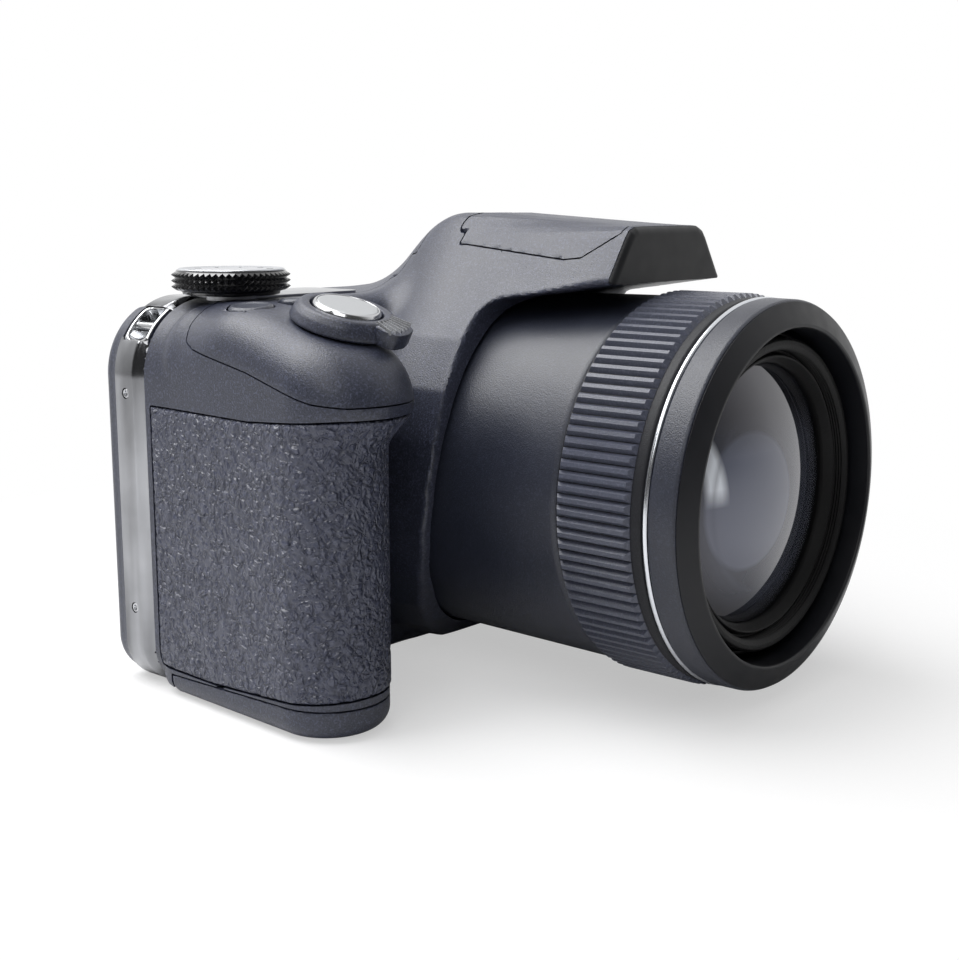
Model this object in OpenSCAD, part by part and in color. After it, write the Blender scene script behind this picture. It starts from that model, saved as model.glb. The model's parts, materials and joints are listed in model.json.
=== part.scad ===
// Bridge camera: moulded body with hand grip, fixed long zoom lens and pop-up flash.
// Origin at the mouth of the tripod socket. Lens looks along -Y, +Z is up, grip on the -X side.

/* [Body] */
// Overall width of the body
body_w = 124; // [118:1:132]
// Height of the top deck above the base
body_h = 77; // [75:0.5:82]
// Depth of the plain body without grip and lens
body_d = 29; // [28:0.5:34]
// Distance from the grip side to the lens axis
lens_x = 72; // [70:0.5:76]
// Distance of the tripod socket behind the front plate
socket_back = 13; // [12:0.5:15]
// Corner radius of the grip side at the top
corner_top = 15; // [10:0.5:17]
// Corner radius of the grip side at the base
corner_low = 11; // [9:0.5:14]
// Wall thickness of the moulded shells
wall = 1.8; // [1.5:0.1:2.2]

/* [Grip] */
// Reach of the grip in front of the front plate
grip_reach = 38; // [34:0.5:42]
// Radius of the grip nose under the finger rest
grip_r = 11.2; // [10.8:0.1:12.5]
// Radius of the finger rest
rest_r = 13.3; // [12.8:0.1:14]
// Overhang of the finger rest beyond the grip
grip_lip = 4; // [3:0.1:4.5]
// Distance of the top of the grip covering below the deck
grip_drop = 19; // [17:0.5:23]
// Thickness of the grip covering
leather_t = 1.2; // [0.8:0.1:1.6]
// Forward slope of the shutter deck in degrees
deck_tilt = 17; // [12:0.5:20]

/* [Flash hump] */
// Height of the hump above its foot
hump_h = 16.4; // [14:0.2:19]
// Reach of the hump nose in front of the front plate
hump_reach = 54.5; // [48:0.5:60]
// Opening angle of the flash in degrees
flash_open = 38; // [25:1:45]

/* [Lens] */
// Clearance of the lens above the base
lens_foot = 4; // [3.5:0.25:6]
// Radius of the front edge of the lens
lens_r = 37; // [35:0.25:38]
// Length of the lens in front of the front plate
lens_len = 81; // [76:0.5:88]
// Radius of the front glass
glass_r = 24.8; // [22:0.2:25]
// Radius of the filter thread bore
filter_r = 27.5; // [27:0.1:27.8]
// Length of the zoom tubes
tube_len = 45; // [40:1:50]
// Ribs round the ring
ring_ribs = 110; // [72:2:120]

/* [Controls] */
// Radius of the mode dial
dial_r = 11.5; // [9:0.25:12.5]
// Height of the mode dial
dial_h = 4.7; // [3.5:0.1:6]
// Radius of the shutter button
shutter_r = 6.3; // [5:0.1:7]
// Radius of the zoom lever
lever_r = 9.3; // [8.5:0.1:10]
// Width of the rear screen window
lcd_w = 66; // [56:1:68]
// Distance of the rear screen window from deck and base
lcd_edge = 13.5; // [12.5:0.5:17]

/* [Fits] */
// Gap between neighbouring covers
seam = 0.2; // [0.15:0.05:0.3]
// Gap beside a moving cover or button
run = 0.35; // [0.3:0.05:0.5]
// Radial running fit of small shafts
fit = 0.08; // [0.05:0.01:0.1]

/* [Hidden] */
$fn = 64;
hull_fn = 32;
big = 400;
xl = -lens_x;
xr = body_w - lens_x;
yf = -socket_back;
yb = body_d - socket_back;
edge = 3;
lens_z = lens_r + lens_foot;
hump_z = lens_z + lens_r - 1;
grip_top_z = body_h - grip_drop;
corner_right = 13;
slab_corners = [
    [xl + corner_top, body_h - corner_top, corner_top],
    [xl + corner_low, corner_low, corner_low],
    [xr - corner_right, body_h - corner_right, corner_right],
    [xr - corner_right, corner_right, corner_right]
];
grip_x = xl + grip_r - 1.6;
grip_y = yf - grip_reach + grip_lip + grip_r;
rest_x = xl + rest_r - 1.6;
rest_y = yf - grip_reach + rest_r;
grip_in = xl + 23;
step_z = grip_top_z - 7;
rest_z = grip_top_z + 1.6;
deck_y = yf - 9;
grip_levels = [[0, 3.4], [0.9, 1.8], [3, 0.6], [7, 0], [step_z, 0]];
hump_top = hump_z + hump_h;
nose_y = yf - hump_reach;
collar_r = lens_r + 2.5;
collar_y = yf - 17;
hood_y = yf - 21;
split_y = yf + 17;
deck_split_y = yf + 6.3;
hump_split_y = yf + 1.5;
cover_x = xl + 32;
shell_in = leather_t + 0.1 + wall;
hinge_y = yf - 12.2;
hinge_z = hump_top - 2.2;
hinge_r = 2.2;
flash_front = nose_y + 2.5;
door_x = grip_in + 1.4;
door_y = split_y - 4;
door_r = 2.2;
door_x0 = xl + corner_low - 4;
trim_t = 1.2;
lug_in = 1 - cos(45);
lug_r = 4.6;
lens_front = lens_len - yf;
ring_back = lens_front - 25.5;
ring_len = 18.8;
tube1_r = lens_r - 5.9;
tube2_r = tube1_r - 1.3;
dial_x = xl + 17.3;
dial_y = yf + 11;
shutter_x = xl + 16;
shutter_y = deck_y - 12.5;
shutter_z = body_h - 12.5 * tan(deck_tilt);
lcd_x = xr - 6 - lcd_w / 2;
lcd_z = body_h / 2 + 1;
lcd_h = body_h - 2 * lcd_edge;
pad_x = xl + 23;
pad_z = body_h / 2 - 4;
frame_y = yf + 8.5;
port_y = yf + 14.6;
release_r = 2.6;
socket_r = 3.175;

// Cylinder along Y from y0 to y1
module ycyl(x, z, y0, y1, r) {
    translate([x, y0, z]) rotate([-90, 0, 0]) cylinder(r = r, h = y1 - y0);
}

// Cylinder along X from x0 to x1
module xcyl(y, z, x0, x1, r) {
    translate([x0, y, z]) rotate([0, 90, 0]) cylinder(r = r, h = x1 - x0);
}

// Cylinder along Z from z0 to z1
module zcyl(x, y, z0, z1, r) {
    translate([x, y, z0]) cylinder(r = r, h = z1 - z0);
}

// Box from corner a to corner b
module block(a, b) {
    translate(a) cube(b - a);
}

// Solid turned about the lens axis, points are radius and distance in front of the socket
module turned(pts) {
    translate([0, 0, lens_z]) rotate([90, 0, 0]) rotate_extrude($fn = 128) polygon(pts);
}

// Prism along X from a side-view outline given as y and z
module side_prism(x0, x1) {
    translate([x0, 0, 0]) rotate([90, 0, 90]) linear_extrude(x1 - x0) children();
}

// Plain body with rounded corners, inset by i
module slab(i) {
    hull()
        for (c = slab_corners) {
            translate([c[0], yf + i + edge, c[1]]) rotate([-90, 0, 0])
                cylinder(r = c[2] - i, h = body_d - 2 * i - 2 * edge, $fn = hull_fn);
            translate([c[0], yf + i + 0.8, c[1]]) rotate([-90, 0, 0])
                cylinder(r = c[2] - i - 0.8, h = body_d - 2 * i - 1.6, $fn = hull_fn);
            translate([c[0], yf + i, c[1]]) rotate([-90, 0, 0])
                cylinder(r = c[2] - i - edge, h = body_d - 2 * i, $fn = hull_fn);
        }
}

// Outline of the grip at one level, shrunk by s
module grip_plan(s) {
    translate([grip_x, grip_y, 0]) cylinder(r = grip_r - s, h = 0.01, $fn = hull_fn);
    translate([xl + 8, yf + 9, 0]) cylinder(r = 8 - s, h = 0.01, $fn = hull_fn);
    translate([grip_in + 1, yf + 4, 0]) cylinder(r = 7.5 - s, h = 0.01, $fn = hull_fn);
}

// Outline of the finger rest, shrunk by s
module rest_plan(s) {
    translate([rest_x, rest_y, 0]) cylinder(r = rest_r - s, h = 0.01, $fn = hull_fn);
    translate([xl + 8, yf + 9, 0]) cylinder(r = 8 - s, h = 0.01, $fn = hull_fn);
    translate([grip_in + 2.5, yf + 4, 0]) cylinder(r = 8 - s, h = 0.01, $fn = hull_fn);
}

// Grip below the finger rest
module grip_low(i) {
    hull()
        for (l = grip_levels)
            translate([0, 0, l[0] + (l[0] < step_z ? i : 0)]) grip_plan(l[1] + i);
}

// Flare between grip and finger rest
module grip_step(i) {
    hull() {
        translate([0, 0, step_z - 0.5]) grip_plan(i + 0.03);
        translate([0, 0, rest_z]) rest_plan(i + 0.03);
    }
}

// Finger rest and sloping shutter deck
module grip_head(i) {
    hull() {
        translate([0, 0, rest_z - 0.5]) rest_plan(i);
        translate([0, 0, rest_z + 3]) rest_plan(i);
        translate([rest_x, rest_y, shutter_z - i - 0.6]) rotate([deck_tilt, 0, 0])
            translate([0, 0, -1.9])
                cylinder(r1 = rest_r - 1.2 - i, r2 = rest_r - 3.4 - i, h = 1.9, $fn = hull_fn);
        translate([xl + corner_top, deck_y, body_h - corner_top]) rotate([-90, 0, 0])
            cylinder(r = corner_top - i, h = 18, $fn = hull_fn);
        for (y = [deck_y, yf + 4])
            translate([grip_in + 2.5, y, body_h - 3 - i])
                cylinder(r1 = 8 - i, r2 = 6 - i, h = 3, $fn = hull_fn);
    }
}

// Hood around the root of the lens
module hood(i) {
    hull() {
        translate([0, collar_y + i + 1, lens_z]) rotate([90, 0, 0]) linear_extrude(1)
            polygon([for (a = [-18:12:198]) (collar_r - i) * [cos(a), sin(a)]]);
        translate([0, yf - 3 + i, lens_z]) rotate([-90, 0, 0])
            cylinder(r = collar_r - 2 - i, h = 10 - i, $fn = 64);
        translate([0, hood_y + i, 0]) rotate([90, 0, 0]) translate([0, 0, i - 28]) linear_extrude(28 - i)
            polygon([[-lens_r + 1 + i, lens_z + 19], [-lens_r + 6 + i, lens_z + 29 - i],
                [-22 + i, hump_z + 1 - i], [22 - i, hump_z + 1 - i],
                [lens_r - 6 - i, lens_z + 29 - i], [lens_r - 1 - i, lens_z + 19]]);
    }
}

// Flash hump over the lens, from the rear slope to the start of the nose
module hump(i) {
    hull() {
        side_section(yf - 17, yf + 1.5 - i, hump_top - i, 7 - i * 0.6, 10 - i, 22 - i);
        side_section(yf - 17, yf + 4 - i, hump_top - 2.2 - i, 6 - i * 0.6, 10 - i, 21 - i);
        translate([-23 + i, yf - 18, hump_z - 9]) cube([46 - 2 * i, 21 - i, 1]);
        translate([-4 + i, yf + 10, hump_z - 9]) cube([8 - 2 * i, 9 - i, 10 - i]);
    }
}

// Cross-section of the hump between two depths
module side_section(y0, y1, top, w0, w1, w2) {
    translate([0, y1, 0]) rotate([90, 0, 0]) linear_extrude(y1 - y0)
        polygon([[-w2, hump_z + 0.5], [-w1, top - 2.7], [-w0, top],
            [w0, top], [w1, top - 2.7], [w2, hump_z + 0.5]]);
}

// Forward nose of the hump, overhanging the lens
module hump_nose(i) {
    hull() {
        translate([0, yf - 14, 0]) rotate([90, 0, 0]) linear_extrude(3)
            polygon([[-21 + i, hump_z - 3 + i], [-22 + i, hump_z + 0.5], [-10 + i, hump_top - 2.7 - i],
                [-7 + i * 0.6, hump_top - i], [7 - i * 0.6, hump_top - i], [10 - i, hump_top - 2.7 - i],
                [22 - i, hump_z + 0.5], [21 - i, hump_z - 3 + i]]);
        translate([0, nose_y + 1 + i, 0]) rotate([90, 0, 0]) linear_extrude(1)
            polygon([[-18 + i, hump_top - 13 + i], [-18.6 + i, hump_top - 11.8],
                [-13.2 + i, hump_top - 3.6 - i],
                [-11.5 + i * 0.6, hump_top - 2.4 - i], [11.5 - i * 0.6, hump_top - 2.4 - i],
                [13.2 - i, hump_top - 3.6 - i], [18.6 - i, hump_top - 11.8], [18 - i, hump_top - 13 + i]]);
    }
}

// Complete outer form of the camera body, inset by i
module body_form(i) {
    slab(i);
    grip_low(i);
    grip_step(i);
    grip_head(i);
    hood(i);
    hump(i);
    hump_nose(i);
}

// Hollow body moulding before it is split into covers
module body_shell() {
    difference() {
        body_form(0);
        body_form(wall);
    }
}

// Everything behind the parting line of the rear cover
module rear_zone(c) {
    side_prism(-big, big) offset(delta = c)
        polygon([[split_y, -big], [split_y, body_h - 4], [deck_split_y, body_h - 4],
            [deck_split_y, hump_z + 0.6], [yf + 4.2, hump_z + 1.2], [yf + 3.8, hump_z + 7],
            [hump_split_y, hump_z + 7], [hump_split_y, big], [big, big], [big, -big]]);
}

// Everything above the parting line of the top cover
module top_zone(c) {
    side_prism(-big, cover_x + c) offset(delta = c)
        polygon([[deck_split_y - seam, big], [deck_split_y - seam, body_h - 4.2],
            [deck_split_y - 1.4, body_h - 7], [deck_split_y - 4, body_h - 8.2],
            [yf - 14, body_h - 11.2], [yf - 24.6, body_h - 14], [yf - 30, body_h - 15.6],
            [yf - 35, body_h - 16.3], [-big, body_h - 16.3], [-big, big]]);
}

// Side-view outline of the grip covering
module leather_zone(c) {
    side_prism(-big, grip_in + 2 + c) offset(delta = c)
        polygon([[split_y - 1.6, 5.4], [split_y - 1.6, grip_top_z - 0.8], [yf - 14, grip_top_z - 1],
            [yf - 34, grip_top_z + 0.4], [-big, grip_top_z + 0.4],
            [-big, 7.6], [yf - 34, 7.5], [yf - 2, 5.4]]);
}

// Space of the battery door at the foot of the grip
module door_zone(c) {
    side_prism(-big, door_x + c) offset(delta = c)
        polygon([[door_y, -big], [door_y, 4.1], [grip_y, 5.7], [-big, 5.7], [-big, -big]]);
    xcyl(door_y, door_r, -big, door_x + c, door_r + c);
}

// Side-view outline of the flash cover with its round hinge edge
module flash_zone(c) {
    side_prism(-big, big) offset(delta = c)
        polygon([[hinge_y, big], [hinge_y, hump_top - 6.2], [hinge_y - 2, hump_top - 6.2],
            [yf - 41, hump_top - 8.6], [yf - 45, hump_top - 8.2], [flash_front, hump_top - 3.6],
            [flash_front - 0.6, big]]);
    xcyl(hinge_y, hinge_z, -big, big, hinge_r + c);
}

// Outline of the panel on the nose
module nose_outline(c) {
    offset(delta = c) polygon([[-16.6, hump_top - 11.6], [-11.9, hump_top - 4.4],
        [11.9, hump_top - 4.4], [16.6, hump_top - 11.6]]);
}

// Cup of a strap lug in a top corner of radius r, s points into the body
module lug_space(x, s, r, c) {
    d = r * lug_in + 1.4;
    ycyl(x + s * d, body_h - d, split_y + 1.4 - c, split_y + 9 + c, lug_r + c);
}

// Front moulding with grip core, lens hood and hump
module front_shell() {
    color("#4b4e58") difference() {
        body_shell();
        rear_zone(seam / 2);
        top_zone(seam / 2);
        flash_zone(run);
        difference() {
            leather_zone(seam);
            grip_low(leather_t + 0.1);
            grip_step(leather_t + 0.1);
            grip_head(leather_t + 0.1);
        }
        door_zone(run);
        block([-big, door_y, -1], [door_x + run, door_y + door_r + run, door_r]);
        ycyl(0, lens_z, hood_y - 20, yf + 4, lens_r - 0.4);
        translate([0, nose_y + 1.1, 0]) rotate([90, 0, 0]) linear_extrude(5) nose_outline(seam);
        ycyl(xl + 35, body_h - 9, yf - 2, yf + 4, 3.2);
        zcyl(0, 0, -1, 4, 6.2);
        for (s = [-1, 1]) zcyl(s * 30, yf + 20, -1, 4, 1.6);
        xcyl(yf - 5.5, hump_z + 5, 10, 40, release_r + run);
        block([xr - 1.7, port_y - 9.6, 26], [xr + 5, port_y + 1.6, 52]);
        block([xr - 2.5, port_y - 1.8, 26], [xr + 5, port_y + 1.7, 52]);
        zcyl(xr - 1.4, port_y, 24, 54, 0.62);
    }
    color("#4b4e58") difference() {
        intersection() {
            union() {
                grip_low(leather_t + 0.1);
                grip_step(leather_t + 0.1);
            }
            leather_zone(2);
        }
        grip_low(shell_in);
        grip_step(shell_in);
        rear_zone(seam / 2);
        top_zone(seam / 2);
        door_zone(run);
        slab(wall);
    }
}

// Rear moulding with the screen opening and button holes
module rear_cover() {
    color("#4b4e58") difference() {
        intersection() {
            body_shell();
            rear_zone(-seam / 2);
        }
        flash_zone(run);
        trim_band(trim_t + 0.1, seam);
        for (z = [16, body_h - 18]) xcyl(split_y + 5, z, xl - 1, xl + 4, 0.95);
        lug_space(xl, 1, corner_top, seam);
        lug_space(xr, -1, corner_right, seam);
        block([lcd_x - lcd_w / 2 - seam, yb - 5, lcd_z - lcd_h / 2 - seam],
            [lcd_x + lcd_w / 2 + seam, yb + 5, lcd_z + lcd_h / 2 + seam]);
        for (b = rear_buttons) ycyl(b[0], b[1], yb - 5, yb + 5, b[2] + run);
        zcyl(dial_x, dial_y, body_h - 8, body_h + 5, 5 + seam);
        zcyl(0, 0, -1, 4, 6.2);
        for (s = [-1, 1]) zcyl(s * 30, yf + 20, -1, 4, 1.6);
    }
}

// Position and radius of the round rear buttons
rear_buttons = [
    [xl + 30, body_h - 11, 4],
    [xl + 14, pad_z - 18, 3.6],
    [xl + 31, pad_z - 18, 3.6],
    [pad_x, pad_z, 11]
];

// Top moulding of the grip with shutter deck
module top_cover() {
    color("#4b4e58") difference() {
        intersection() {
            body_shell();
            top_zone(-seam / 2);
        }
        rear_zone(seam / 2);
        lens_clear();
        shutter_place() translate([0, 0, -9]) cylinder(r = 5 + seam, h = 20);
        shutter_place() translate([0, 0, 0.01]) cylinder(r = lever_r + 1.4, h = 20);
        zcyl(xl + 8.5, yf - 5, body_h - 12, body_h + 5, 4.2 + run);
        zcyl(xl + 19, yf - 6, body_h - 8, body_h + 5, 3.4 + run);
    }
}

// Room kept free around the root of the lens
module lens_clear() {
    ycyl(0, lens_z, hood_y - 20, yf + 4, lens_r - 0.4);
}

// Flexible covering of the grip
module grip_cover() {
    color("#555862") difference() {
        intersection() {
            union() {
                grip_low(0);
                grip_step(0);
                grip_head(0);
            }
            leather_zone(0);
        }
        grip_low(leather_t);
        grip_step(leather_t);
        grip_head(leather_t);
        slab(leather_t);
    }
}

// Band of the side trim, t thick and grown by c
module trim_band(t, c) {
    difference() {
        block([-big, split_y + 0.4 - c, 3 - c], [xl + 22, split_y + 9.2 + c, body_h - 9 + c]);
        slab(t);
    }
}

// Bright strip along the grip side
module side_trim() {
    color("#d5d8dc") difference() {
        intersection() {
            trim_band(trim_t, 0);
            slab(0);
        }
        lug_space(xl, 1, corner_top, seam);
        for (z = [16, body_h - 18]) xcyl(split_y + 5, z, -big, big, 1.3);
    }
}

// Two screws holding the side strip
module side_trim_screws() {
    color("#b9bcc2") for (z = [16, body_h - 18]) difference() {
        union() {
            xcyl(split_y + 5, z, xl + 0.5, xl + 1.2, 1.2);
            xcyl(split_y + 5, z, xl + 1.1, xl + 1.7, 0.8);
        }
        block([xl + 0.4, split_y + 4, z - 0.2], [xl + 0.8, split_y + 6, z + 0.2]);
    }
}

// Strap bar on the grip side
module strap_lug_right() {
    color("#d5d8dc") strap_lug(xl, 1, corner_top);
}

// Strap bar on the other side
module strap_lug_left() {
    color("#d5d8dc") strap_lug(xr, -1, corner_right);
}

// Cup with a bar for the strap, flush with the corner
module strap_lug(x, s, r) {
    d = r * lug_in + 1.4;
    difference() {
        intersection() {
            lug_space(x, s, r, 0);
            slab(0);
        }
        ycyl(x + s * d, body_h - d, split_y + 2.3, split_y + 8.1, lug_r - 0.9);
    }
    ycyl(x + s * (d - 0.2), body_h - d + 0.2, split_y + 2, split_y + 8.4, 1.2);
}

// Bright inlay on the deck below the dial
module top_trim() {
    color("#d5d8dc") difference() {
        block([xl + corner_top, deck_split_y + 0.4, body_h + 0.02], [-23.5, yb - 6, body_h + 0.5]);
        zcyl(dial_x, dial_y, body_h - 1, body_h + 2, 5 + seam);
    }
}

// Plain dark panel on the nose of the hump
module nose_panel() {
    color("#2b2d33") translate([0, nose_y + 1, 0]) rotate([90, 0, 0]) linear_extrude(1) nose_outline(0);
}

// Round window of the focus lamp
module af_lamp_window() {
    color("#3a2a2a") ycyl(xl + 35, body_h - 9, yf + 0.3, yf + 1.7, 3);
}

// Metal insert with the tripod thread
module tripod_socket() {
    color("#a8abb0") translate([0, 0, 0]) difference() {
        union() {
            cylinder(r = 6, h = 2.6);
            cylinder(r = 4.5, h = 8);
        }
        translate([0, 0, -1]) cylinder(r = socket_r, h = 7.5);
    }
}

// Two screws in the base
module base_screws() {
    color("#3c3e44") for (s = [-1, 1]) difference() {
        zcyl(s * 30, yf + 20, 0.3, 5, 1.5);
        zcyl(s * 30, yf + 20, 0, 0.8, 0.7);
    }
}

// Metal frame that carries the lens and the boards
module chassis_frame() {
    color("#9a9da3") difference() {
        block([xl + 13, frame_y, 8], [xr - 14, frame_y + 1.2, body_h - 8]);
        ycyl(0, lens_z, frame_y - 1, frame_y + 3, 9);
    }
}

// Fixed outer barrel of the lens
module lens_barrel() {
    color("#3e4049") turned([[lens_r - 3, -frame_y + 0.1], [lens_r - 0.8, -frame_y + 0.1],
        [lens_r - 0.8, -collar_y], [lens_r - 0.4, ring_back - 0.2], [lens_r - 1.6, ring_back - 0.2],
        [lens_r - 1.6, lens_front - 1.2], [lens_r - 3.2, lens_front - 1.2], [lens_r - 3.2, -frame_y + 8],
        [lens_r - 3, -frame_y + 8]]);
}

// Outline of the ribbed ring seen along the lens axis
module rib_outline() {
    step = 360 / ring_ribs;
    top = step * 0.26;
    polygon([for (i = [0:ring_ribs - 1]) each [
        (lens_r - 0.25) * [cos((i - 0.5) * step), sin((i - 0.5) * step)],
        (lens_r + 0.5) * [cos(i * step - top), sin(i * step - top)],
        (lens_r + 0.5) * [cos(i * step + top), sin(i * step + top)]]]);
}

// Ribbed rubber ring on the barrel
module grip_ring() {
    d = ring_back + 0.1;
    color("#202226") {
        turned([[lens_r - 1.6 + run, d], [lens_r - 0.6, d],
            [lens_r - 0.6, d + 15.6], [lens_r - 0.1, d + 16.1],
            [lens_r - 0.1, ring_back + ring_len - 0.2], [lens_r - 1.6 + run, ring_back + ring_len - 0.2]]);
        translate([0, -d, lens_z]) rotate([90, 0, 0]) linear_extrude(15.9) difference() {
            rib_outline();
            circle(r = lens_r - 0.9, $fn = 128);
        }
    }
}

// Thin polished ring
module silver_ring() {
    d = ring_back + ring_len;
    color("#e4e6ea") turned([[lens_r - 1.5, d + 0.1], [lens_r + 0.1, d + 0.1],
        [lens_r + 0.1, d + 1.1], [lens_r - 1.5, d + 1.1]]);
}

// Front ring with the bevelled face
module front_bezel() {
    b = ring_back + ring_len + 1.2;
    d = lens_front;
    color("#3e4049") turned([[lens_r - 1.5, b], [lens_r, b], [lens_r, d - 0.4], [lens_r - 0.5, d + 0.3],
        [lens_r - 4.7, d + 2], [lens_r - 5.4, d + 1.6], [lens_r - 5.4, d - 4],
        [lens_r - 3.4, d - 4], [lens_r - 3.4, d - 1], [lens_r - 1.5, d - 1]]);
}

// Fixed guide of the zoom tubes
module zoom_guide_tube() {
    color("#2a2c30") turned([[tube1_r + run, -frame_y + 0.2], [lens_r - 3.3, -frame_y + 0.2],
        [lens_r - 3.3, lens_front - 14], [tube1_r + run, lens_front - 14]]);
}

// First zoom tube
module zoom_tube_outer() {
    color("#26282c") turned([[tube2_r + run, lens_front - 5 - tube_len], [tube1_r, lens_front - 5 - tube_len],
        [tube1_r, lens_front - 5], [tube2_r + run, lens_front - 5]]);
}

// Second zoom tube with lens cell and filter thread
module zoom_tube_inner() {
    d = lens_front;
    color("#26282c") turned([[tube2_r - 1.3, d - 1 - tube_len], [tube2_r, d - 1 - tube_len],
        [tube2_r, d - 2], [tube2_r - 1, d - 2],
        [filter_r, d - 2.8], [filter_r, d - 6.6], [glass_r + 0.1, d - 6.6], [glass_r + 0.1, d - 18.5],
        [tube2_r - 1.3, d - 18.5]]);
}

// Convex front glass
module front_lens() {
    d = lens_front - 12;
    sag = 5;
    rad = (glass_r * glass_r + sag * sag) / (2 * sag);
    color("#a9c3d6") turned(concat([[0, d - 3], [glass_r, d - 5.5]],
        [for (k = [0:16]) let(r = glass_r * (1 - k / 16)) [r, d + sqrt(rad * rad - r * r) - rad + sag]]));
}

// Ring holding the front glass
module lens_retainer() {
    d = lens_front;
    color("#1c1d20") turned([[glass_r - 1.2, d - 11.3], [glass_r, d - 11.8],
        [glass_r, d - 9.8], [glass_r - 0.6, d - 9.8]]);
}

// Iris and shutter unit
module iris_unit() {
    d = 12 - frame_y;
    color("#1d1e22") turned([[4, d], [22, d], [22, d + 4], [4, d + 4]]);
}

// Rear lens group
module rear_lens_group() {
    d = 0.2 - frame_y;
    color("#2a2c30") turned([[0, d], [11, d], [11, d + 11.7], [0, d + 11.7]]);
}

// Image sensor
module image_sensor() {
    color("#20303a") block([-4, frame_y + 0.2, lens_z - 3], [4, frame_y + 1.2, lens_z + 3]);
}

// Board behind the sensor
module sensor_board() {
    color("#1f4a33") block([-14, frame_y + 1.3, lens_z - 11], [14, frame_y + 2.3, lens_z + 11]);
}

// Sealed zoom motor
module zoom_motor() {
    color("#8f9298") zcyl(xr - 7.4, yf + 13, 13, body_h - 40, 4.6);
}

// Main circuit board
module main_board() {
    color("#1f4a33") {
        block([xl + 30, frame_y + 4, 8], [xr - 14, frame_y + 5.2, body_h - 9]);
        for (x = [xl + 34, xr - 18], z = [13, body_h - 14]) ycyl(x, z, frame_y + 1.3, frame_y + 4.2, 2);
    }
}

// Screen panel
module lcd_module() {
    color("#15171b") block([lcd_x - lcd_w / 2 - 1.2, yb - wall - 3.4, lcd_z - lcd_h / 2 - 1.2],
        [lcd_x + lcd_w / 2 + 1.2, yb - wall - 0.2, lcd_z + lcd_h / 2 + 1.2]);
}

// Clear window over the screen
module lcd_window() {
    color("#101114") block([lcd_x - lcd_w / 2, yb - wall, lcd_z - lcd_h / 2],
        [lcd_x + lcd_w / 2, yb - 0.2, lcd_z + lcd_h / 2]);
}

// Holder of the battery and memory card
module battery_case() {
    color("#2c2e33") difference() {
        union() {
            block([grip_x - 6, grip_y - 4, 8], [grip_x + 6, frame_y - 0.1, step_z - 1]);
            block([grip_x + 5, frame_y - 27.8, 10], [grip_x + 9.4, frame_y - 0.1, step_z - 14]);
            block([grip_x + 5, frame_y - 1.6, 12], [grip_x + 16, frame_y - 0.1, step_z - 12]);
        }
        block([grip_x - 5.2, grip_y - 3.2, 7], [grip_x + 5.2, frame_y - 2, step_z - 2]);
        block([grip_x + 6.2, frame_y - 26.8, 7], [grip_x + 8.7, frame_y - 2.2, step_z - 15]);
    }
}

// Rechargeable battery
module battery() {
    color("#3b4352") block([grip_x - 5, grip_y - 3, 7.2], [grip_x + 5, frame_y - 2.2, step_z - 2.2]);
}

// Memory card
module memory_card() {
    color("#26405e") block([grip_x + 6.4, frame_y - 26.4, 7.2], [grip_x + 8.5, frame_y - 2.4, step_z - 15.2]);
}

// Flash capacitor
module flash_capacitor() {
    color("#20242c") zcyl(xr - 7.4, yf + 13, body_h - 37, body_h - 10, 4.6);
}

// Knurled mode dial with its shaft
module mode_dial() {
    color("#1a1b1e") difference() {
        union() {
            zcyl(dial_x, dial_y, body_h + 0.9, body_h + 0.9 + dial_h, dial_r);
            zcyl(dial_x, dial_y, body_h - 6, body_h + 1, 2.5);
        }
        zcyl(dial_x, dial_y, body_h + 0.1 + dial_h, body_h + 9 + dial_h, dial_r - 0.9);
    }
}

// Bright disc on the dial
module dial_plate() {
    color("#c9ccd1") zcyl(dial_x, dial_y, body_h + 0.1 + dial_h, body_h + 1 + dial_h, dial_r - 1);
}

// Bearing of the dial shaft
module dial_bearing() {
    color("#9a9da3") difference() {
        zcyl(dial_x, dial_y, body_h - 6.4, body_h + 0.5, 5);
        zcyl(dial_x, dial_y, body_h - 7, body_h + 2, 2.5 + fit);
    }
}

// Frame of the shutter button, tilted with the deck
module shutter_place() {
    translate([shutter_x, shutter_y, shutter_z]) rotate([deck_tilt, 0, 0]) children();
}

// Two-stage shutter button
module shutter_button() {
    color("#c9ccd1") shutter_place() {
        translate([0, 0, 1.9]) cylinder(r = shutter_r - 0.05, h = 1.3);
        translate([0, 0, -6]) cylinder(r = 3, h = 8);
    }
}

// Zoom lever around the shutter button
module zoom_lever() {
    color("#33353b") shutter_place() {
        difference() {
            union() {
                translate([0, 0, 0.4]) cylinder(r = lever_r, h = 2.2);
                rotate([0, 0, -70]) translate([3, -2.6, 0.6]) cube([lever_r + 0.4, 5.2, 1.8]);
            }
            translate([0, 0, -1]) cylinder(r = 5 + fit, h = 10);
            translate([0, 0, 1.1]) cylinder(r = shutter_r + run, h = 10);
        }
    }
}

// Sleeve guiding the shutter button and carrying the lever
module shutter_bush() {
    color("#9a9da3") shutter_place() difference() {
        translate([0, 0, -5]) cylinder(r = 5, h = 6);
        translate([0, 0, -6]) cylinder(r = 3 + fit, h = 10);
    }
}

// Power button
module power_button() {
    color("#8d9096") zcyl(xl + 8.5, yf - 5, body_h - 5.5, body_h - 0.6, 4.2);
}

// Drive mode button
module drive_button() {
    color("#8d9096") zcyl(xl + 19, yf - 6, body_h - 4, body_h + 0.7, 3.4);
}

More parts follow.
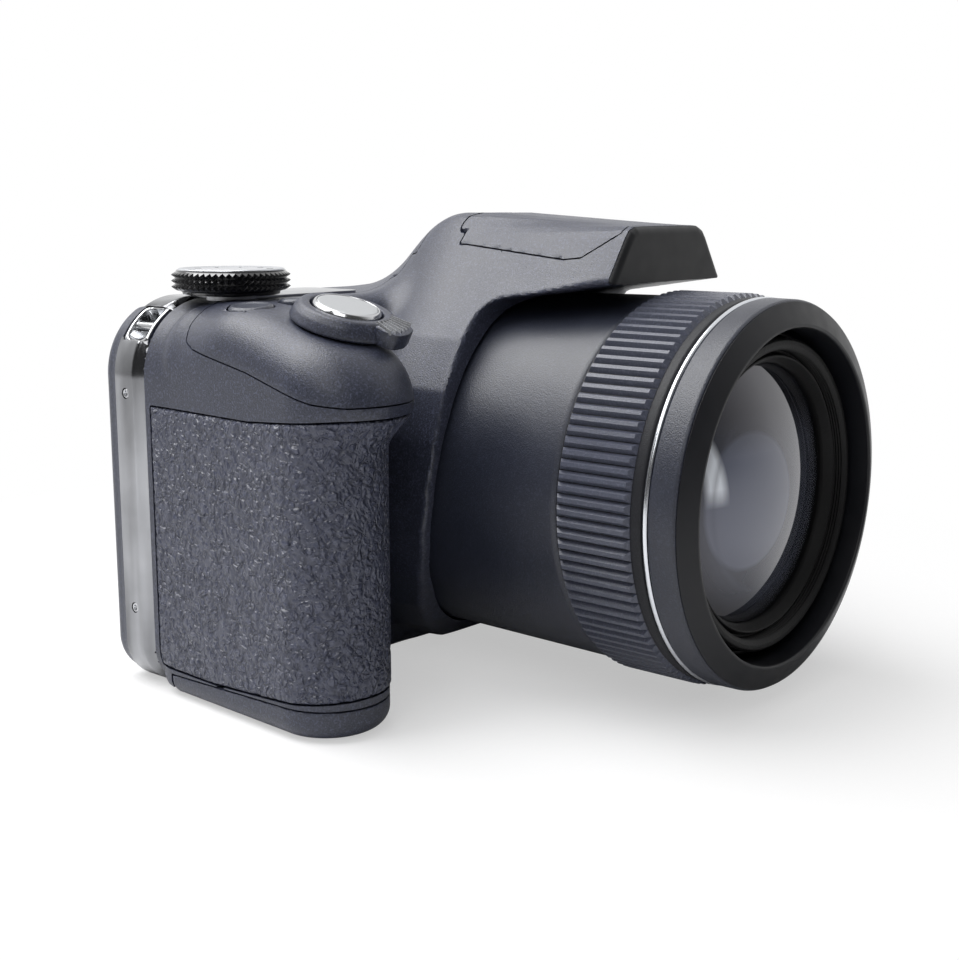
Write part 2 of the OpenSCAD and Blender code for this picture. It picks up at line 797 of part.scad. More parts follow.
// Lid of the pop-up flash with its hinge knuckle
module flash_cover() {
    color("#4b4e58") difference() {
        union() {
            difference() {
                intersection() {
                    union() {
                        hump(0);
                        hump_nose(0);
                    }
                    flash_zone(0);
                }
                hump(wall - 0.2);
                hump_nose(wall - 0.2);
                xcyl(hinge_y, hinge_z, -big, -6, 1.5);
                xcyl(hinge_y, hinge_z, 6, big, 1.5);
            }
            xcyl(hinge_y, hinge_z, -6, 6, hinge_r - 0.05);
        }
        xcyl(hinge_y, hinge_z, -big, big, 0.6 + fit);
    }
}

// Frame of the flash unit, tilted so that it faces forward when raised
module flash_place() {
    translate([0, nose_y + 12, hump_top - 6.8]) rotate([flash_open - 10, 0, 0]) children();
}

// Reflector housing
module flash_head() {
    color("#b7bac0") flash_place() difference() {
        block([-9, -4.5, -2.5], [9, 3, 2.4]);
        block([-8, -5, -1.7], [8, 1.8, 1.6]);
    }
}

// Clear window of the flash
module flash_window() {
    color("#e9eef2") flash_place() block([-9, -5.6, -2.5], [9, -4.6, 2.4]);
}

// Flash discharge tube
module flash_tube() {
    color("#dfe7ee") flash_place() xcyl(0.6, 0, -7.9, 7.9, 1);
}

// Metal bracket carrying the flash hinge
module flash_bracket() {
    color("#9a9da3") difference() {
        union() {
            block([-16.3, hinge_y - 12, hump_z + 3], [16.3, hinge_y + 2, hump_z + 3.8]);
            for (s = [-1, 1]) {
                block([s * 7 - 0.7, hinge_y - 1.2, hump_z + 3.5], [s * 7 + 0.7, hinge_y + 0.1, hinge_z]);
                xcyl(hinge_y, hinge_z, s * 7 - 0.7, s * 7 + 0.7, 1.2);
            }
        }
        xcyl(hinge_y, hinge_z, -20, 20, 0.62);
    }
}

// Pin of the flash hinge
module flash_hinge_pin() {
    color("#c2c5ca") xcyl(hinge_y, hinge_z, -7.6, 7.6, 0.6);
}

// Button releasing the flash
module flash_release() {
    color("#33353b") xcyl(yf - 5.5, hump_z + 5, 14, 20, release_r);
}

// Door of the battery space at the foot of the grip
module battery_door() {
    color("#4b4e58") difference() {
        union() {
            difference() {
                intersection() {
                    union() {
                        grip_low(0);
                        slab(0);
                    }
                    door_zone(0);
                }
                grip_low(wall);
                slab(wall);
            }
            xcyl(door_y, door_r, door_x0 + 1.5, door_x - 2.5, door_r - 0.05);
        }
        xcyl(door_y, door_r, -big, big, 0.9 + fit);
    }
}

// Pin of the battery door
module battery_door_pin() {
    color("#c2c5ca") xcyl(door_y, door_r, door_x0 + 0.2, door_x - 1.2, 0.9);
}

// Cover of the cable sockets on the side
module port_cover() {
    color("#3a3c42") difference() {
        union() {
            block([xr - 1.5, port_y - 9.2, 26.4], [xr - 0.1, port_y, 51.6]);
            zcyl(xr - 1.4, port_y, 26.4, 51.6, 1.2);
        }
        zcyl(xr - 1.4, port_y, 20, 60, 0.5 + fit);
    }
}

// Pin of the socket cover
module port_cover_pin() {
    color("#c2c5ca") zcyl(xr - 1.4, port_y, 24.5, 53.5, 0.5);
}

// Round rear button with a retaining flange
module rear_button(b, h) {
    difference() {
        union() {
            ycyl(b[0], b[1], yb - wall - 1.2, yb + h, b[2]);
            ycyl(b[0], b[1], yb - wall - 1.2, yb - wall - 0.3, b[2] + 0.9);
        }
        children();
    }
}

// Movie button
module movie_button() {
    color("#8a2f2f") rear_button(rear_buttons[0], 0.5);
}

// Menu button
module menu_button() {
    color("#33353b") rear_button(rear_buttons[1], 0.5);
}

// Playback button
module play_button() {
    color("#33353b") rear_button(rear_buttons[2], 0.5);
}

// Four-way pad
module nav_pad() {
    color("#33353b") rear_button(rear_buttons[3], 0.7) ycyl(pad_x, pad_z, yb - 9, yb + 9, 4.6 + run);
}

// Confirm button in the middle of the pad
module ok_button() {
    color("#8d9096") {
        ycyl(pad_x, pad_z, yb - wall - 2.5, yb + 0.9, 4.6);
        ycyl(pad_x, pad_z, yb - wall - 2.9, yb - wall - 1.9, 6.5);
    }
}

front_shell();
rear_cover();
top_cover();
grip_cover();
side_trim();
side_trim_screws();
strap_lug_right();
strap_lug_left();
top_trim();
nose_panel();
af_lamp_window();
tripod_socket();
base_screws();
chassis_frame();
lens_barrel();
grip_ring();
silver_ring();
front_bezel();
zoom_guide_tube();
zoom_tube_outer();
zoom_tube_inner();
front_lens();
lens_retainer();
iris_unit();
rear_lens_group();
image_sensor();
sensor_board();
zoom_motor();
main_board();
lcd_module();
lcd_window();
battery_case();
battery();
memory_card();
flash_capacitor();
mode_dial();
dial_plate();
dial_bearing();
shutter_button();
zoom_lever();
shutter_bush();
power_button();
drive_button();
flash_cover();
flash_head();
flash_window();
flash_tube();
flash_bracket();
flash_hinge_pin();
flash_release();
battery_door();
battery_door_pin();
port_cover();
port_cover_pin();
movie_button();
menu_button();
play_button();
nav_pad();
ok_button();
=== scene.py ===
"""Bridge camera, dressed: smooth mouldings, turned rings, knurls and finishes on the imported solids."""

from __future__ import annotations

import json
import logging
import math
from dataclasses import dataclass
from enum import Enum
from typing import Any, Sequence

import bmesh
import bpy
import numpy as np
from mathutils import Euler, Matrix, Vector

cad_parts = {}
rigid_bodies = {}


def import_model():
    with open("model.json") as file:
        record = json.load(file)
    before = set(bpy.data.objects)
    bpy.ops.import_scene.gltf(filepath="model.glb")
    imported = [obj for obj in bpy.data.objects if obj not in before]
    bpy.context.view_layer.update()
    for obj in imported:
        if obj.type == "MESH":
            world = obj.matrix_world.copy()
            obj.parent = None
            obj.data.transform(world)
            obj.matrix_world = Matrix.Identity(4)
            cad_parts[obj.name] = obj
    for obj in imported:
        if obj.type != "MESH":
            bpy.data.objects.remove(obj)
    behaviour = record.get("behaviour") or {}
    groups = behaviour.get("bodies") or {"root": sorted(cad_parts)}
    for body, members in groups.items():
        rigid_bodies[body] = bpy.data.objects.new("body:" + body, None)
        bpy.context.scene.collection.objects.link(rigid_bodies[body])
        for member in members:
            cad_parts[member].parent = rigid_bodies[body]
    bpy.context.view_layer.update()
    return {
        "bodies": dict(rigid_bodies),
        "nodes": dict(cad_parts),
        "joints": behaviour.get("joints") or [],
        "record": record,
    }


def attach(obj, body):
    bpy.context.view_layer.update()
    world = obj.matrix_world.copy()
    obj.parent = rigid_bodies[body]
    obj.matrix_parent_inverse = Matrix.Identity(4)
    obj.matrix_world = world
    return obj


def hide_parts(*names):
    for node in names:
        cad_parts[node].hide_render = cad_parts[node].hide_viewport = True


LOG = logging.getLogger("camera")
MM = 0.001
Array = np.ndarray
Point2 = tuple[float, float]
Point3 = tuple[float, float, float]
Colour = tuple[float, float, float, float]


class Axis(Enum):
    """Direction that a turned piece's axis points in."""

    FORWARD = "forward"
    UP = "up"
    BACK = "back"


def paint(red: int, green: int, blue: int) -> Colour:
    """Give the linear colour for an 8-bit screen colour."""
    return tuple(pow((c / 255 + 0.055) / 1.055, 2.4) if c > 10 else c / 255 / 12.92
                 for c in (red, green, blue)) + (1.0,)


# ---------------------------------------------------------------- distance fields, in millimetres


def ramp(value: Array, low: float, high: float) -> Array:
    """Rise smoothly from 0 at low to 1 at high."""
    t = np.clip((value - low) / (high - low), 0.0, 1.0)
    return t * t * (3.0 - 2.0 * t)


def soft_min(a: Array, b: Array, k: Array | float) -> Array:
    """Join two fields with a fillet about k wide."""
    h = np.maximum(k - np.abs(a - b), 0.0) / k
    return np.minimum(a, b) - h * h * k * 0.25


def soft_max(a: Array, b: Array, k: Array | float) -> Array:
    """Intersect two fields with a rounded edge about k wide."""
    return -soft_min(-a, -b, k)


def round_edge(a: Array, b: Array, r: Array | float) -> Array:
    """Intersect two fields with an edge of radius r."""
    return (np.minimum(np.maximum(a, b) + r, 0.0)
            + np.hypot(np.maximum(a + r, 0.0), np.maximum(b + r, 0.0)) - r)


def outline_distance(u: Array, v: Array, points: Sequence[Point2]) -> Array:
    """Measure signed distance to a closed outline in a plane.

    Args:
        u: First coordinate of the places to measure.
        v: Second coordinate, in a shape that broadcasts with u.
        points: Corners of the outline in order.

    Returns:
        Distances, negative inside.
    """
    best = np.full(np.broadcast(u, v).shape, 1e12, np.float32)
    inside = np.zeros(best.shape, bool)
    for (ax, ay), (bx, by) in zip(points, list(points[1:]) + [points[0]]):
        ex, ey = bx - ax, by - ay
        t = np.clip(((u - ax) * ex + (v - ay) * ey) / (ex * ex + ey * ey), 0.0, 1.0)
        best = np.minimum(best, (u - ax - ex * t) ** 2 + (v - ay - ey * t) ** 2)
        if ay != by:
            inside ^= ((ay <= v) != (by <= v)) & (u < ax + (v - ay) * (ex / ey))
    return np.where(inside, -1.0, 1.0) * np.sqrt(best)


def hull_outline(circles: Sequence[Point3], steps: int = 72) -> list[Point2]:
    """Draw the outline round several circles.

    Args:
        circles: Centre and radius of each.
        steps: Directions to look in.

    Returns:
        Corners of the outline in order.
    """
    made: list[Point2] = []
    for k in range(steps):
        cos, sin = math.cos(2 * math.pi * k / steps), math.sin(2 * math.pi * k / steps)
        x, y, r = max(circles, key=lambda c: c[0] * cos + c[1] * sin + c[2])
        made.append((x + r * cos, y + r * sin))
    return made


class FieldGrid:
    """A regular grid on which fields are sampled and turned into a closed mesh."""

    def __init__(self, *axes: Sequence[Point3]) -> None:
        """Lay out the grid.
        """
        coarse = 1.0
        self.ticks = [np.concatenate([np.arange(low, high - 1e-3, step * coarse) for low, high, step in runs]
                                     + [[runs[-1][1]]]).astype(np.float32) for runs in axes]
        self.shape = tuple(len(t) for t in self.ticks)
        self.x, self.y, self.z = (t.reshape([-1 if i == j else 1 for j in range(3)])
                                  for i, t in enumerate(self.ticks))

    def corner(self, place: Array) -> Array:
        """Give the position of grid indices, one row each."""
        return np.stack([t[np.minimum(place[:, i], len(t) - 1)] for i, t in enumerate(self.ticks)], 1)

    def slope(self, values: Array, place: Array) -> Array:
        """Take the central difference of a sampled field.

        Args:
            values: The field on the whole grid.
            place: Grid indices, one row each.

        Returns:
            Gradients, one row each.
        """
        rows = []
        for axis in range(3):
            up, down = place.copy(), place.copy()
            up[:, axis] = np.minimum(up[:, axis] + 1, self.shape[axis] - 1)
            down[:, axis] = np.maximum(down[:, axis] - 1, 0)
            tick = self.ticks[axis]
            rows.append((values[tuple(up.T)] - values[tuple(down.T)]) / (tick[up[:, axis]] - tick[down[:, axis]]))
        return np.stack(rows, 1)

    def crossings(self, fields: list[Array], inside: Array, axis: int) -> tuple[Array, ...]:
        """Find where grid edges along one axis pass through the surface.

        Args:
            fields: Sampled fields whose largest is the solid.
            inside: True where the solid is.
            axis: Direction of the edges.

        Returns:
            Lower grid index, point, normal and whether the lower end is inside.
        """
        step = np.eye(3, dtype=int)[axis]
        near = tuple(slice(0, n - s) for n, s in zip(self.shape, step))
        far = tuple(slice(s, n) for n, s in zip(self.shape, step))
        place = np.argwhere(inside[near] != inside[far])
        a = np.stack([f[tuple(place.T)] for f in fields])
        b = np.stack([f[tuple((place + step).T)] for f in fields])
        solid = inside[tuple(place.T)]
        low, high = np.zeros(len(place)), np.ones(len(place))
        for _ in range(14):
            mid = (low + high) / 2
            same = ((a + (b - a) * mid).max(0) < 0) == solid
            low, high = np.where(same, mid, low), np.where(same, high, mid)
        t = ((low + high) / 2)[:, None]
        active = (a + (b - a) * t[:, 0]).argmax(0)
        normal = np.zeros((len(place), 3))
        for k, values in enumerate(fields):
            mine = active == k
            if mine.any():
                spot = place[mine]
                normal[mine] = (self.slope(values, spot) * (1 - t[mine])
                                + self.slope(values, spot + step) * t[mine])
        normal /= np.maximum(np.linalg.norm(normal, axis=1, keepdims=True), 1e-9)
        point = self.corner(place) * (1 - t) + self.corner(place + step) * t
        return place, point, normal, solid

    def mesh(self, parts: Sequence[Array]) -> tuple[Array, Array]:
        """Make the surface of the places where every part is negative, with its sharp edges kept.

        Args:
            parts: Fields that broadcast to the grid.

        Returns:
            Points in mm and faces of four indices.
        """
        fields = [np.broadcast_to(np.asarray(p, np.float32), self.shape) for p in parts]
        inside = np.maximum.reduce(fields) < 0
        cells, points, normals, loops = [], [], [], []
        for axis in range(3):
            place, point, normal, solid = self.crossings(fields, inside, axis)
            one, two = (axis + 1) % 3, (axis + 2) % 3
            ring = []
            for d1, d2 in ((0, 0), (-1, 0), (-1, -1), (0, -1)):
                cell = place.copy()
                cell[:, one] += d1
                cell[:, two] += d2
                ring.append(np.ravel_multi_index(tuple(np.maximum(cell, 0).T), self.shape))
                points.append(point)
                normals.append(normal)
            cells.extend(ring)
            loop = np.stack(ring, 1)
            loops.append(np.where(solid[:, None], loop, loop[:, ::-1]))
        cell, point, normal = (np.concatenate(v) for v in (cells, points, normals))
        keys, where = np.unique(cell, return_inverse=True)
        count = len(keys)

        def total(values: Array) -> Array:
            """Add values up for each cell."""
            return np.bincount(where, values, count)

        weight = total(np.ones(len(where)))
        mass = np.stack([total(point[:, i]) / weight for i in range(3)], 1)
        offset = np.einsum("ij,ij->i", normal, point - mass[where])
        square = np.zeros((count, 3, 3))
        for i in range(3):
            for j in range(i, 3):
                square[:, i, j] = square[:, j, i] = total(normal[:, i] * normal[:, j])
        right = np.stack([total(normal[:, i] * offset) for i in range(3)], 1)
        size, turn = np.linalg.eigh(square)
        keep = size > 0.09 * size[:, -1:]
        inverse = np.where(keep, 1.0 / np.where(keep, size, 1.0), 0.0)
        place = mass + np.einsum("nij,nj->ni", turn, inverse * np.einsum("nji,nj->ni", turn, right))
        cell = np.stack(np.unravel_index(keys, self.shape), 1)
        place = np.clip(place, self.corner(cell), self.corner(cell + 1))
        return place, np.searchsorted(keys, np.concatenate(loops))


# ---------------------------------------------------------------- plain mesh work


def make_mesh(name: str, points: Array, faces: Array) -> bpy.types.Mesh:
    """Make a mesh from arrays.

    Args:
        name: Mesh name.
        points: Points in mm.
        faces: Faces of equal length.

    Returns:
        The mesh, in metres.
    """
    mesh = bpy.data.meshes.new(name)
    corners = faces.shape[1]
    mesh.vertices.add(len(points))
    mesh.vertices.foreach_set("co", (np.asarray(points, np.float64) * MM).astype(np.float32).ravel())
    mesh.loops.add(faces.size)
    mesh.loops.foreach_set("vertex_index", faces.astype(np.int32).ravel())
    mesh.polygons.add(len(faces))
    mesh.polygons.foreach_set("loop_start", np.arange(0, faces.size, corners, dtype=np.int32))
    mesh.update(calc_edges=True)
    mesh.validate()
    return mesh


def soften(points: Sequence[Point2], radius: float, steps: int = 3) -> list[Point2]:
    """Round the corners of a closed outline.

    Args:
        points: Corners in order.
        radius: Length taken off each side of a corner, less on short sides.
        steps: Pieces in each rounded corner.

    Returns:
        The rounded outline.
    """
    made: list[Point2] = []
    count = len(points)
    for i, corner in enumerate(points):
        here = Vector(corner)
        back, ahead = Vector(points[i - 1]) - here, Vector(points[(i + 1) % count]) - here
        cut_a = min(radius, back.length * 0.45)
        cut_b = min(radius, ahead.length * 0.45)
        start, end = here + back.normalized() * cut_a, here + ahead.normalized() * cut_b
        if here.x < 1e-6:
            made.append((here.x, here.y))
            continue
        for k in range(steps + 1):
            t = k / steps
            spot = start * (1 - t) ** 2 + here * (2 * t * (1 - t)) + end * t ** 2
            made.append((spot.x, spot.y))
    return made


def round_corners(points: Sequence[Point2], radius: float, steps: int = 5) -> list[Point2]:
    """Round the corners of an outline that may cross the middle line."""
    shift = 1000.0
    return [(u - shift, v) for u, v in soften([(u + shift, v) for u, v in points], radius, steps)]


def lathe(name: str, outline: Sequence[Point2], axis: Axis, origin: Point3, segments: int = 192) -> bpy.types.Mesh:
    """Turn a closed outline round an axis.

    Args:
        name: Mesh name.
        outline: Radius and distance along the axis for each corner.
        axis: Which way the axis points.
        origin: Where distance 0 of the axis is, in mm.
        segments: Steps round the axis.

    Returns:
        The closed mesh.
    """
    frames = {Axis.FORWARD: ((1, 0, 0), (0, 0, 1), (0, -1, 0)), Axis.UP: ((1, 0, 0), (0, 1, 0), (0, 0, 1)),
              Axis.BACK: ((-1, 0, 0), (0, 0, 1), (0, 1, 0))}
    side, other, along = (Vector(v) for v in frames[axis])
    work = bmesh.new()
    rings = []
    for radius, height in outline:
        middle = Vector(origin) + along * height
        if radius < 1e-6:
            rings.append([work.verts.new(middle * MM)])
            continue
        rings.append([work.verts.new((middle + side * (radius * math.cos(a)) + other * (radius * math.sin(a))) * MM)
                      for a in (2 * math.pi * k / segments for k in range(segments))])
    for one, two in zip(rings, rings[1:] + rings[:1]):
        if len(one) == 1 and len(two) == 1:
            continue
        for k in range(segments):
            n = (k + 1) % segments
            if len(one) == 1:
                work.faces.new((one[0], two[k], two[n]))
            elif len(two) == 1:
                work.faces.new((one[k], one[n], two[0]))
            else:
                work.faces.new((one[k], one[n], two[n], two[k]))
    bmesh.ops.recalc_face_normals(work, faces=work.faces)
    return finish_work(name, work)


def finish_work(name: str, work: bmesh.types.BMesh) -> bpy.types.Mesh:
    """Turn finished bmesh work into a mesh."""
    mesh = bpy.data.meshes.new(name)
    work.to_mesh(mesh)
    work.free()
    return mesh


def prism(name: str, outline: Sequence[Point2], place: Matrix, height: float, bevel: float) -> bpy.types.Mesh:
    """Raise a flat outline into a solid with softened edges.

    Args:
        name: Mesh name.
        outline: Corners in mm, in the plane of place.
        place: Puts the plane in the camera's frame, in mm.
        height: Thickness along the plane's normal.
        bevel: Width of the softened edge.

    Returns:
        The closed mesh.
    """
    work = bmesh.new()
    base = work.faces.new([work.verts.new((u, v, 0.0)) for u, v in outline])
    top = bmesh.ops.extrude_face_region(work, geom=[base])["geom"]
    bmesh.ops.translate(work, verts=[g for g in top if isinstance(g, bmesh.types.BMVert)], vec=(0, 0, height))
    bmesh.ops.recalc_face_normals(work, faces=work.faces)
    sharp = [e for e in work.edges if e.calc_face_angle(0.0) > 0.5]
    bmesh.ops.bevel(work, geom=sharp, offset=bevel, segments=2, profile=0.6, affect="EDGES")
    bmesh.ops.transform(work, verts=work.verts, matrix=Matrix.Scale(MM, 4) @ place)
    bmesh.ops.recalc_face_normals(work, faces=work.faces)
    return finish_work(name, work)


def join_meshes(name: str, meshes: Sequence[bpy.types.Mesh]) -> bpy.types.Mesh:
    """Put several meshes into one."""
    work = bmesh.new()
    for mesh in meshes:
        work.from_mesh(mesh)
    return finish_work(name, work)


# ---------------------------------------------------------------- node graphs


class Val:
    """One socket of a node graph; operators on it add Math nodes."""

    def __init__(self, graph: Graph, socket: bpy.types.NodeSocket | None) -> None:
        """Keep the graph and the socket."""
        self.graph = graph
        self.socket = socket

    def __add__(self, other: Val | float) -> Val:
        """Add."""
        return self.graph.math("ADD", self, other)

    __radd__ = __add__

    def __sub__(self, other: Val | float) -> Val:
        """Take away."""
        return self.graph.math("SUBTRACT", self, other)

    def __rsub__(self, other: Val | float) -> Val:
        """Take this from another value."""
        return self.graph.math("SUBTRACT", other, self)

    def __mul__(self, other: Val | float) -> Val:
        """Multiply."""
        return self.graph.math("MULTIPLY", self, other)

    __rmul__ = __mul__

    def __truediv__(self, other: Val | float) -> Val:
        """Divide."""
        return self.graph.math("DIVIDE", self, other)

    def __rtruediv__(self, other: Val | float) -> Val:
        """Divide another value by this."""
        return self.graph.math("DIVIDE", other, self)

    def __pow__(self, other: Val | float) -> Val:
        """Raise to a power."""
        return self.graph.math("POWER", self, other)


class Graph:
    """A node tree and the one way in which nodes are added to it."""

    def __init__(self, tree: bpy.types.NodeTree) -> None:
        """Keep the tree."""
        self.tree = tree

    def node(self, kind: str, settings: dict[str, Any] | None = None,
             sockets: dict[int | str, Any] | None = None, out: int | str = 0) -> Val:
        """Add a node.

        Args:
            kind: Node type.
            settings: Properties, set first.
            sockets: Values or links by socket name or number.
            out: Output to hand back.

        Returns:
            The output socket.
        """
        made = self.tree.nodes.new(kind)
        for key, value in (settings or {}).items():
            setattr(made, key, value)
        for key, value in (sockets or {}).items():
            if isinstance(value, Val):
                self.tree.links.new(value.socket, made.inputs[key])
            else:
                made.inputs[key].default_value = value
        return Val(self, made.outputs[out] if made.outputs else None)

    def math(self, operation: str, *values: Val | float) -> Val:
        """Add a Math node."""
        return self.node("ShaderNodeMath", {"operation": operation}, dict(enumerate(values)))

    def mix(self, factor: Val | float, a: Val | Colour, b: Val | Colour) -> Val:
        """Mix two colours."""
        return self.node("ShaderNodeMix", {"data_type": "RGBA"}, {0: factor, 6: a, 7: b}, 2)

    def fit(self, value: Val, low: float, high: float, to_low: float, to_high: float) -> Val:
        """Map one range onto another and clamp it."""
        return self.node("ShaderNodeMapRange", {"clamp": True}, dict(enumerate((value, low, high, to_low, to_high))))

    def place(self, shift: Point3 = (0, 0, 0), scale: Point3 = (1, 1, 1)) -> Val:
        """Give Object coordinates, moved and then scaled."""
        found = self.node("ShaderNodeTexCoord", out="Object")
        moved = self.node("ShaderNodeVectorMath", {"operation": "SUBTRACT"}, {0: found, 1: shift})
        return self.node("ShaderNodeMapping", {}, {"Vector": moved, "Scale": scale})

    def noise(self, vector: Val, scale: float, detail: float = 2.0, bend: float = 0.0) -> Val:
        """Give fractal noise from 0 to 1."""
        return self.node("ShaderNodeTexNoise", {}, {"Vector": vector, "Scale": scale, "Detail": detail,
                                                    "Distortion": bend})

    def part(self, vector: Val, name: str) -> Val:
        """Give one part of a vector."""
        return self.node("ShaderNodeSeparateXYZ", {}, {0: vector}, name)

    def bump(self, height: Val, strength: float, distance: float) -> Val:
        """Give a bumped normal."""
        return self.node("ShaderNodeBump", {}, {"Height": height, "Strength": strength, "Distance": distance})


@dataclass(frozen=True)
class Finish:
    """What every finish shares."""

    name: str
    colour: Colour
    rough: float = 0.4

    def make(self) -> bpy.types.Material:
        """Make the material."""
        material = bpy.data.materials.new(self.name)
        material.use_nodes = True
        material.node_tree.nodes.clear()
        graph = Graph(material.node_tree)
        shader = graph.node("ShaderNodeBsdfPrincipled", {}, self.sockets(graph))
        graph.node("ShaderNodeOutputMaterial", {}, {"Surface": shader})
        return material

    def shade(self, factor: float) -> Colour:
        """Give the colour made lighter or darker."""
        return tuple(min(1.0, c * factor) for c in self.colour[:3]) + (1.0,)

    def sockets(self, graph: Graph) -> dict[str, Any]:
        """Give the shader's socket values."""
        raise NotImplementedError


@dataclass(frozen=True)
class SatinPlastic(Finish):
    """Moulded plastic with a fine sparkle in it."""

    speckle: float = 0.4
    grain: float = 0.8
    size: float = 4000.0
    shine: float = 0.5

    def sockets(self, graph: Graph) -> dict[str, Any]:
        """Give the shader's socket values."""
        place = graph.place()
        fine = graph.noise(place, self.size, 1.0)
        slow = graph.noise(place, 55.0, 3.0)
        spark = graph.fit(graph.noise(place, self.size * 0.62, 0.0), 0.58, 0.7, 0.0, 1.0)
        tone = graph.fit(fine * 0.8 + slow * 0.2, 0.3, 0.7, 0.0, 1.0)
        body = graph.mix(tone, self.shade(1 - self.speckle), self.shade(1 + self.speckle))
        return {"Base Color": graph.mix(spark * (self.speckle * 0.8), body, self.shade(3.2)),
                "Roughness": graph.fit(slow + fine * 0.5, 0.4, 1.1, self.rough - 0.06, self.rough + 0.08),
                "Normal": graph.bump(fine, self.grain, 0.00008), "Specular IOR Level": self.shine}


@dataclass(frozen=True)
class Leatherette(Finish):
    """Grained covering: wide wrinkles in the mesh and its grain attribute, with fine creases over them; the creases
    and the wrinkle grooves are darkened as painted shade.
    """

    def sockets(self, graph: Graph) -> dict[str, Any]:
        """Give the shader's socket values."""
        grain = graph.node("ShaderNodeAttribute", {"attribute_name": "grain"}, out="Fac")
        place = graph.place()
        fine = graph.noise(place, 3200.0, 2.0)
        bend = graph.node("ShaderNodeTexNoise", {}, {"Vector": place, "Scale": 400.0, "Detail": 2.0}, "Color")
        bent = graph.node("ShaderNodeVectorMath", {"operation": "MULTIPLY_ADD"},
                          {0: bend, 1: (0.0034,) * 3, 2: place})
        edge = graph.node("ShaderNodeTexVoronoi", {"feature": "DISTANCE_TO_EDGE"}, {"Vector": bent, "Scale": 560.0},
                          "Distance")
        fade = graph.fit(graph.noise(place, 420.0, 1.0), 0.4, 0.62, 0.0, 0.4)
        crease = graph.math("MAXIMUM", graph.fit(edge, 0.02, 0.12, 0.0, 1.0), fade)
        dome = graph.math("MAXIMUM", graph.fit(edge, 0.0, 0.34, 0.0, 1.0), fade)
        # tone darkens the creases and the low grain in the wrinkle grooves as painted shade, adds random tone from
        # the fine noise, and also sets the roughness.
        tone = graph.fit(grain * 0.2 + crease * 0.8 + (fine - 0.5) * 0.2, 0.1, 0.95, 0.0, 1.0)
        return {"Base Color": graph.mix(tone, self.shade(0.6), self.shade(1.06)),
                "Roughness": graph.fit(tone, 0.0, 1.0, self.rough + 0.1, self.rough - 0.12),
                "Normal": graph.bump(grain * 0.2 + dome + fine * 0.05, 1.0, 0.0006)}


@dataclass(frozen=True)
class PolishedMetal(Finish):
    """Bright metal with faint wipe marks and a base colour streaked lighter and darker: random tone when faint,
    painted reflection when strong.
    """

    stretch: Point3 = (1.0, 1.0, 0.06)
    tone_and_reflection_streaks: float = 0.06

    def sockets(self, graph: Graph) -> dict[str, Any]:
        """Give the shader's socket values."""
        streak = graph.noise(graph.place(scale=self.stretch), 1800.0, 3.0)
        cloud = graph.noise(graph.place(), 90.0, 3.0)
        wide = graph.noise(graph.place(scale=self.stretch), 240.0, 1.0)
        # slow streaks the base colour; a small amount is random tone, and a large amount, as on the side strip, is
        # painted reflection.
        slow = graph.fit(wide * 0.7 + cloud * 0.3, 0.3, 0.7, 0.0, 1.0)
        return {"Base Color": graph.mix(slow, self.shade(1 - self.tone_and_reflection_streaks), self.shade(1 + self.tone_and_reflection_streaks)),
                "Metallic": 1.0,
                "Roughness": graph.fit(streak * 0.6 + cloud * 0.4, 0.35, 0.65, self.rough, self.rough + 0.1),
                "Normal": graph.bump(streak, 0.04, 0.00003)}


@dataclass(frozen=True)
class SpunMetal(Finish):
    """Metal turned on a lathe, with rings round an axis."""

    centre: Point3 = (0.0, 0.0, 0.0)
    keep: Point3 = (1.0, 1.0, 0.0)

    def sockets(self, graph: Graph) -> dict[str, Any]:
        """Give the shader's socket values."""
        flat = graph.place(self.centre, self.keep)
        radius = graph.node("ShaderNodeVectorMath", {"operation": "LENGTH"}, {0: flat}, "Value")
        line = graph.node("ShaderNodeCombineXYZ", {}, {"X": radius})
        rings = graph.noise(line, 5200.0, 2.0)
        cloud = graph.noise(graph.place(), 140.0, 2.0)
        return {"Base Color": graph.mix(rings, self.shade(0.86), self.shade(1.08)), "Metallic": 1.0,
                "Roughness": graph.fit(rings + cloud * 0.4, 0.4, 1.0, self.rough, self.rough + 0.14),
                "Normal": graph.bump(rings, 0.12, 0.00003)}


@dataclass(frozen=True)
class GlossPlastic(Finish):
    """Smooth dark plastic with a thin clear coat."""

    coat: float = 0.4
    shine: float = 0.5

    def sockets(self, graph: Graph) -> dict[str, Any]:
        """Give the shader's socket values."""
        cloud = graph.noise(graph.place(), 300.0, 4.0)
        return {"Base Color": graph.mix(cloud, self.shade(0.8), self.shade(1.25)),
                "Roughness": graph.fit(cloud, 0.3, 0.7, self.rough, self.rough + 0.08),
                "Coat Weight": self.coat, "Coat Roughness": 0.08, "Specular IOR Level": self.shine,
                "Normal": graph.bump(cloud, 0.05, 0.00004)}


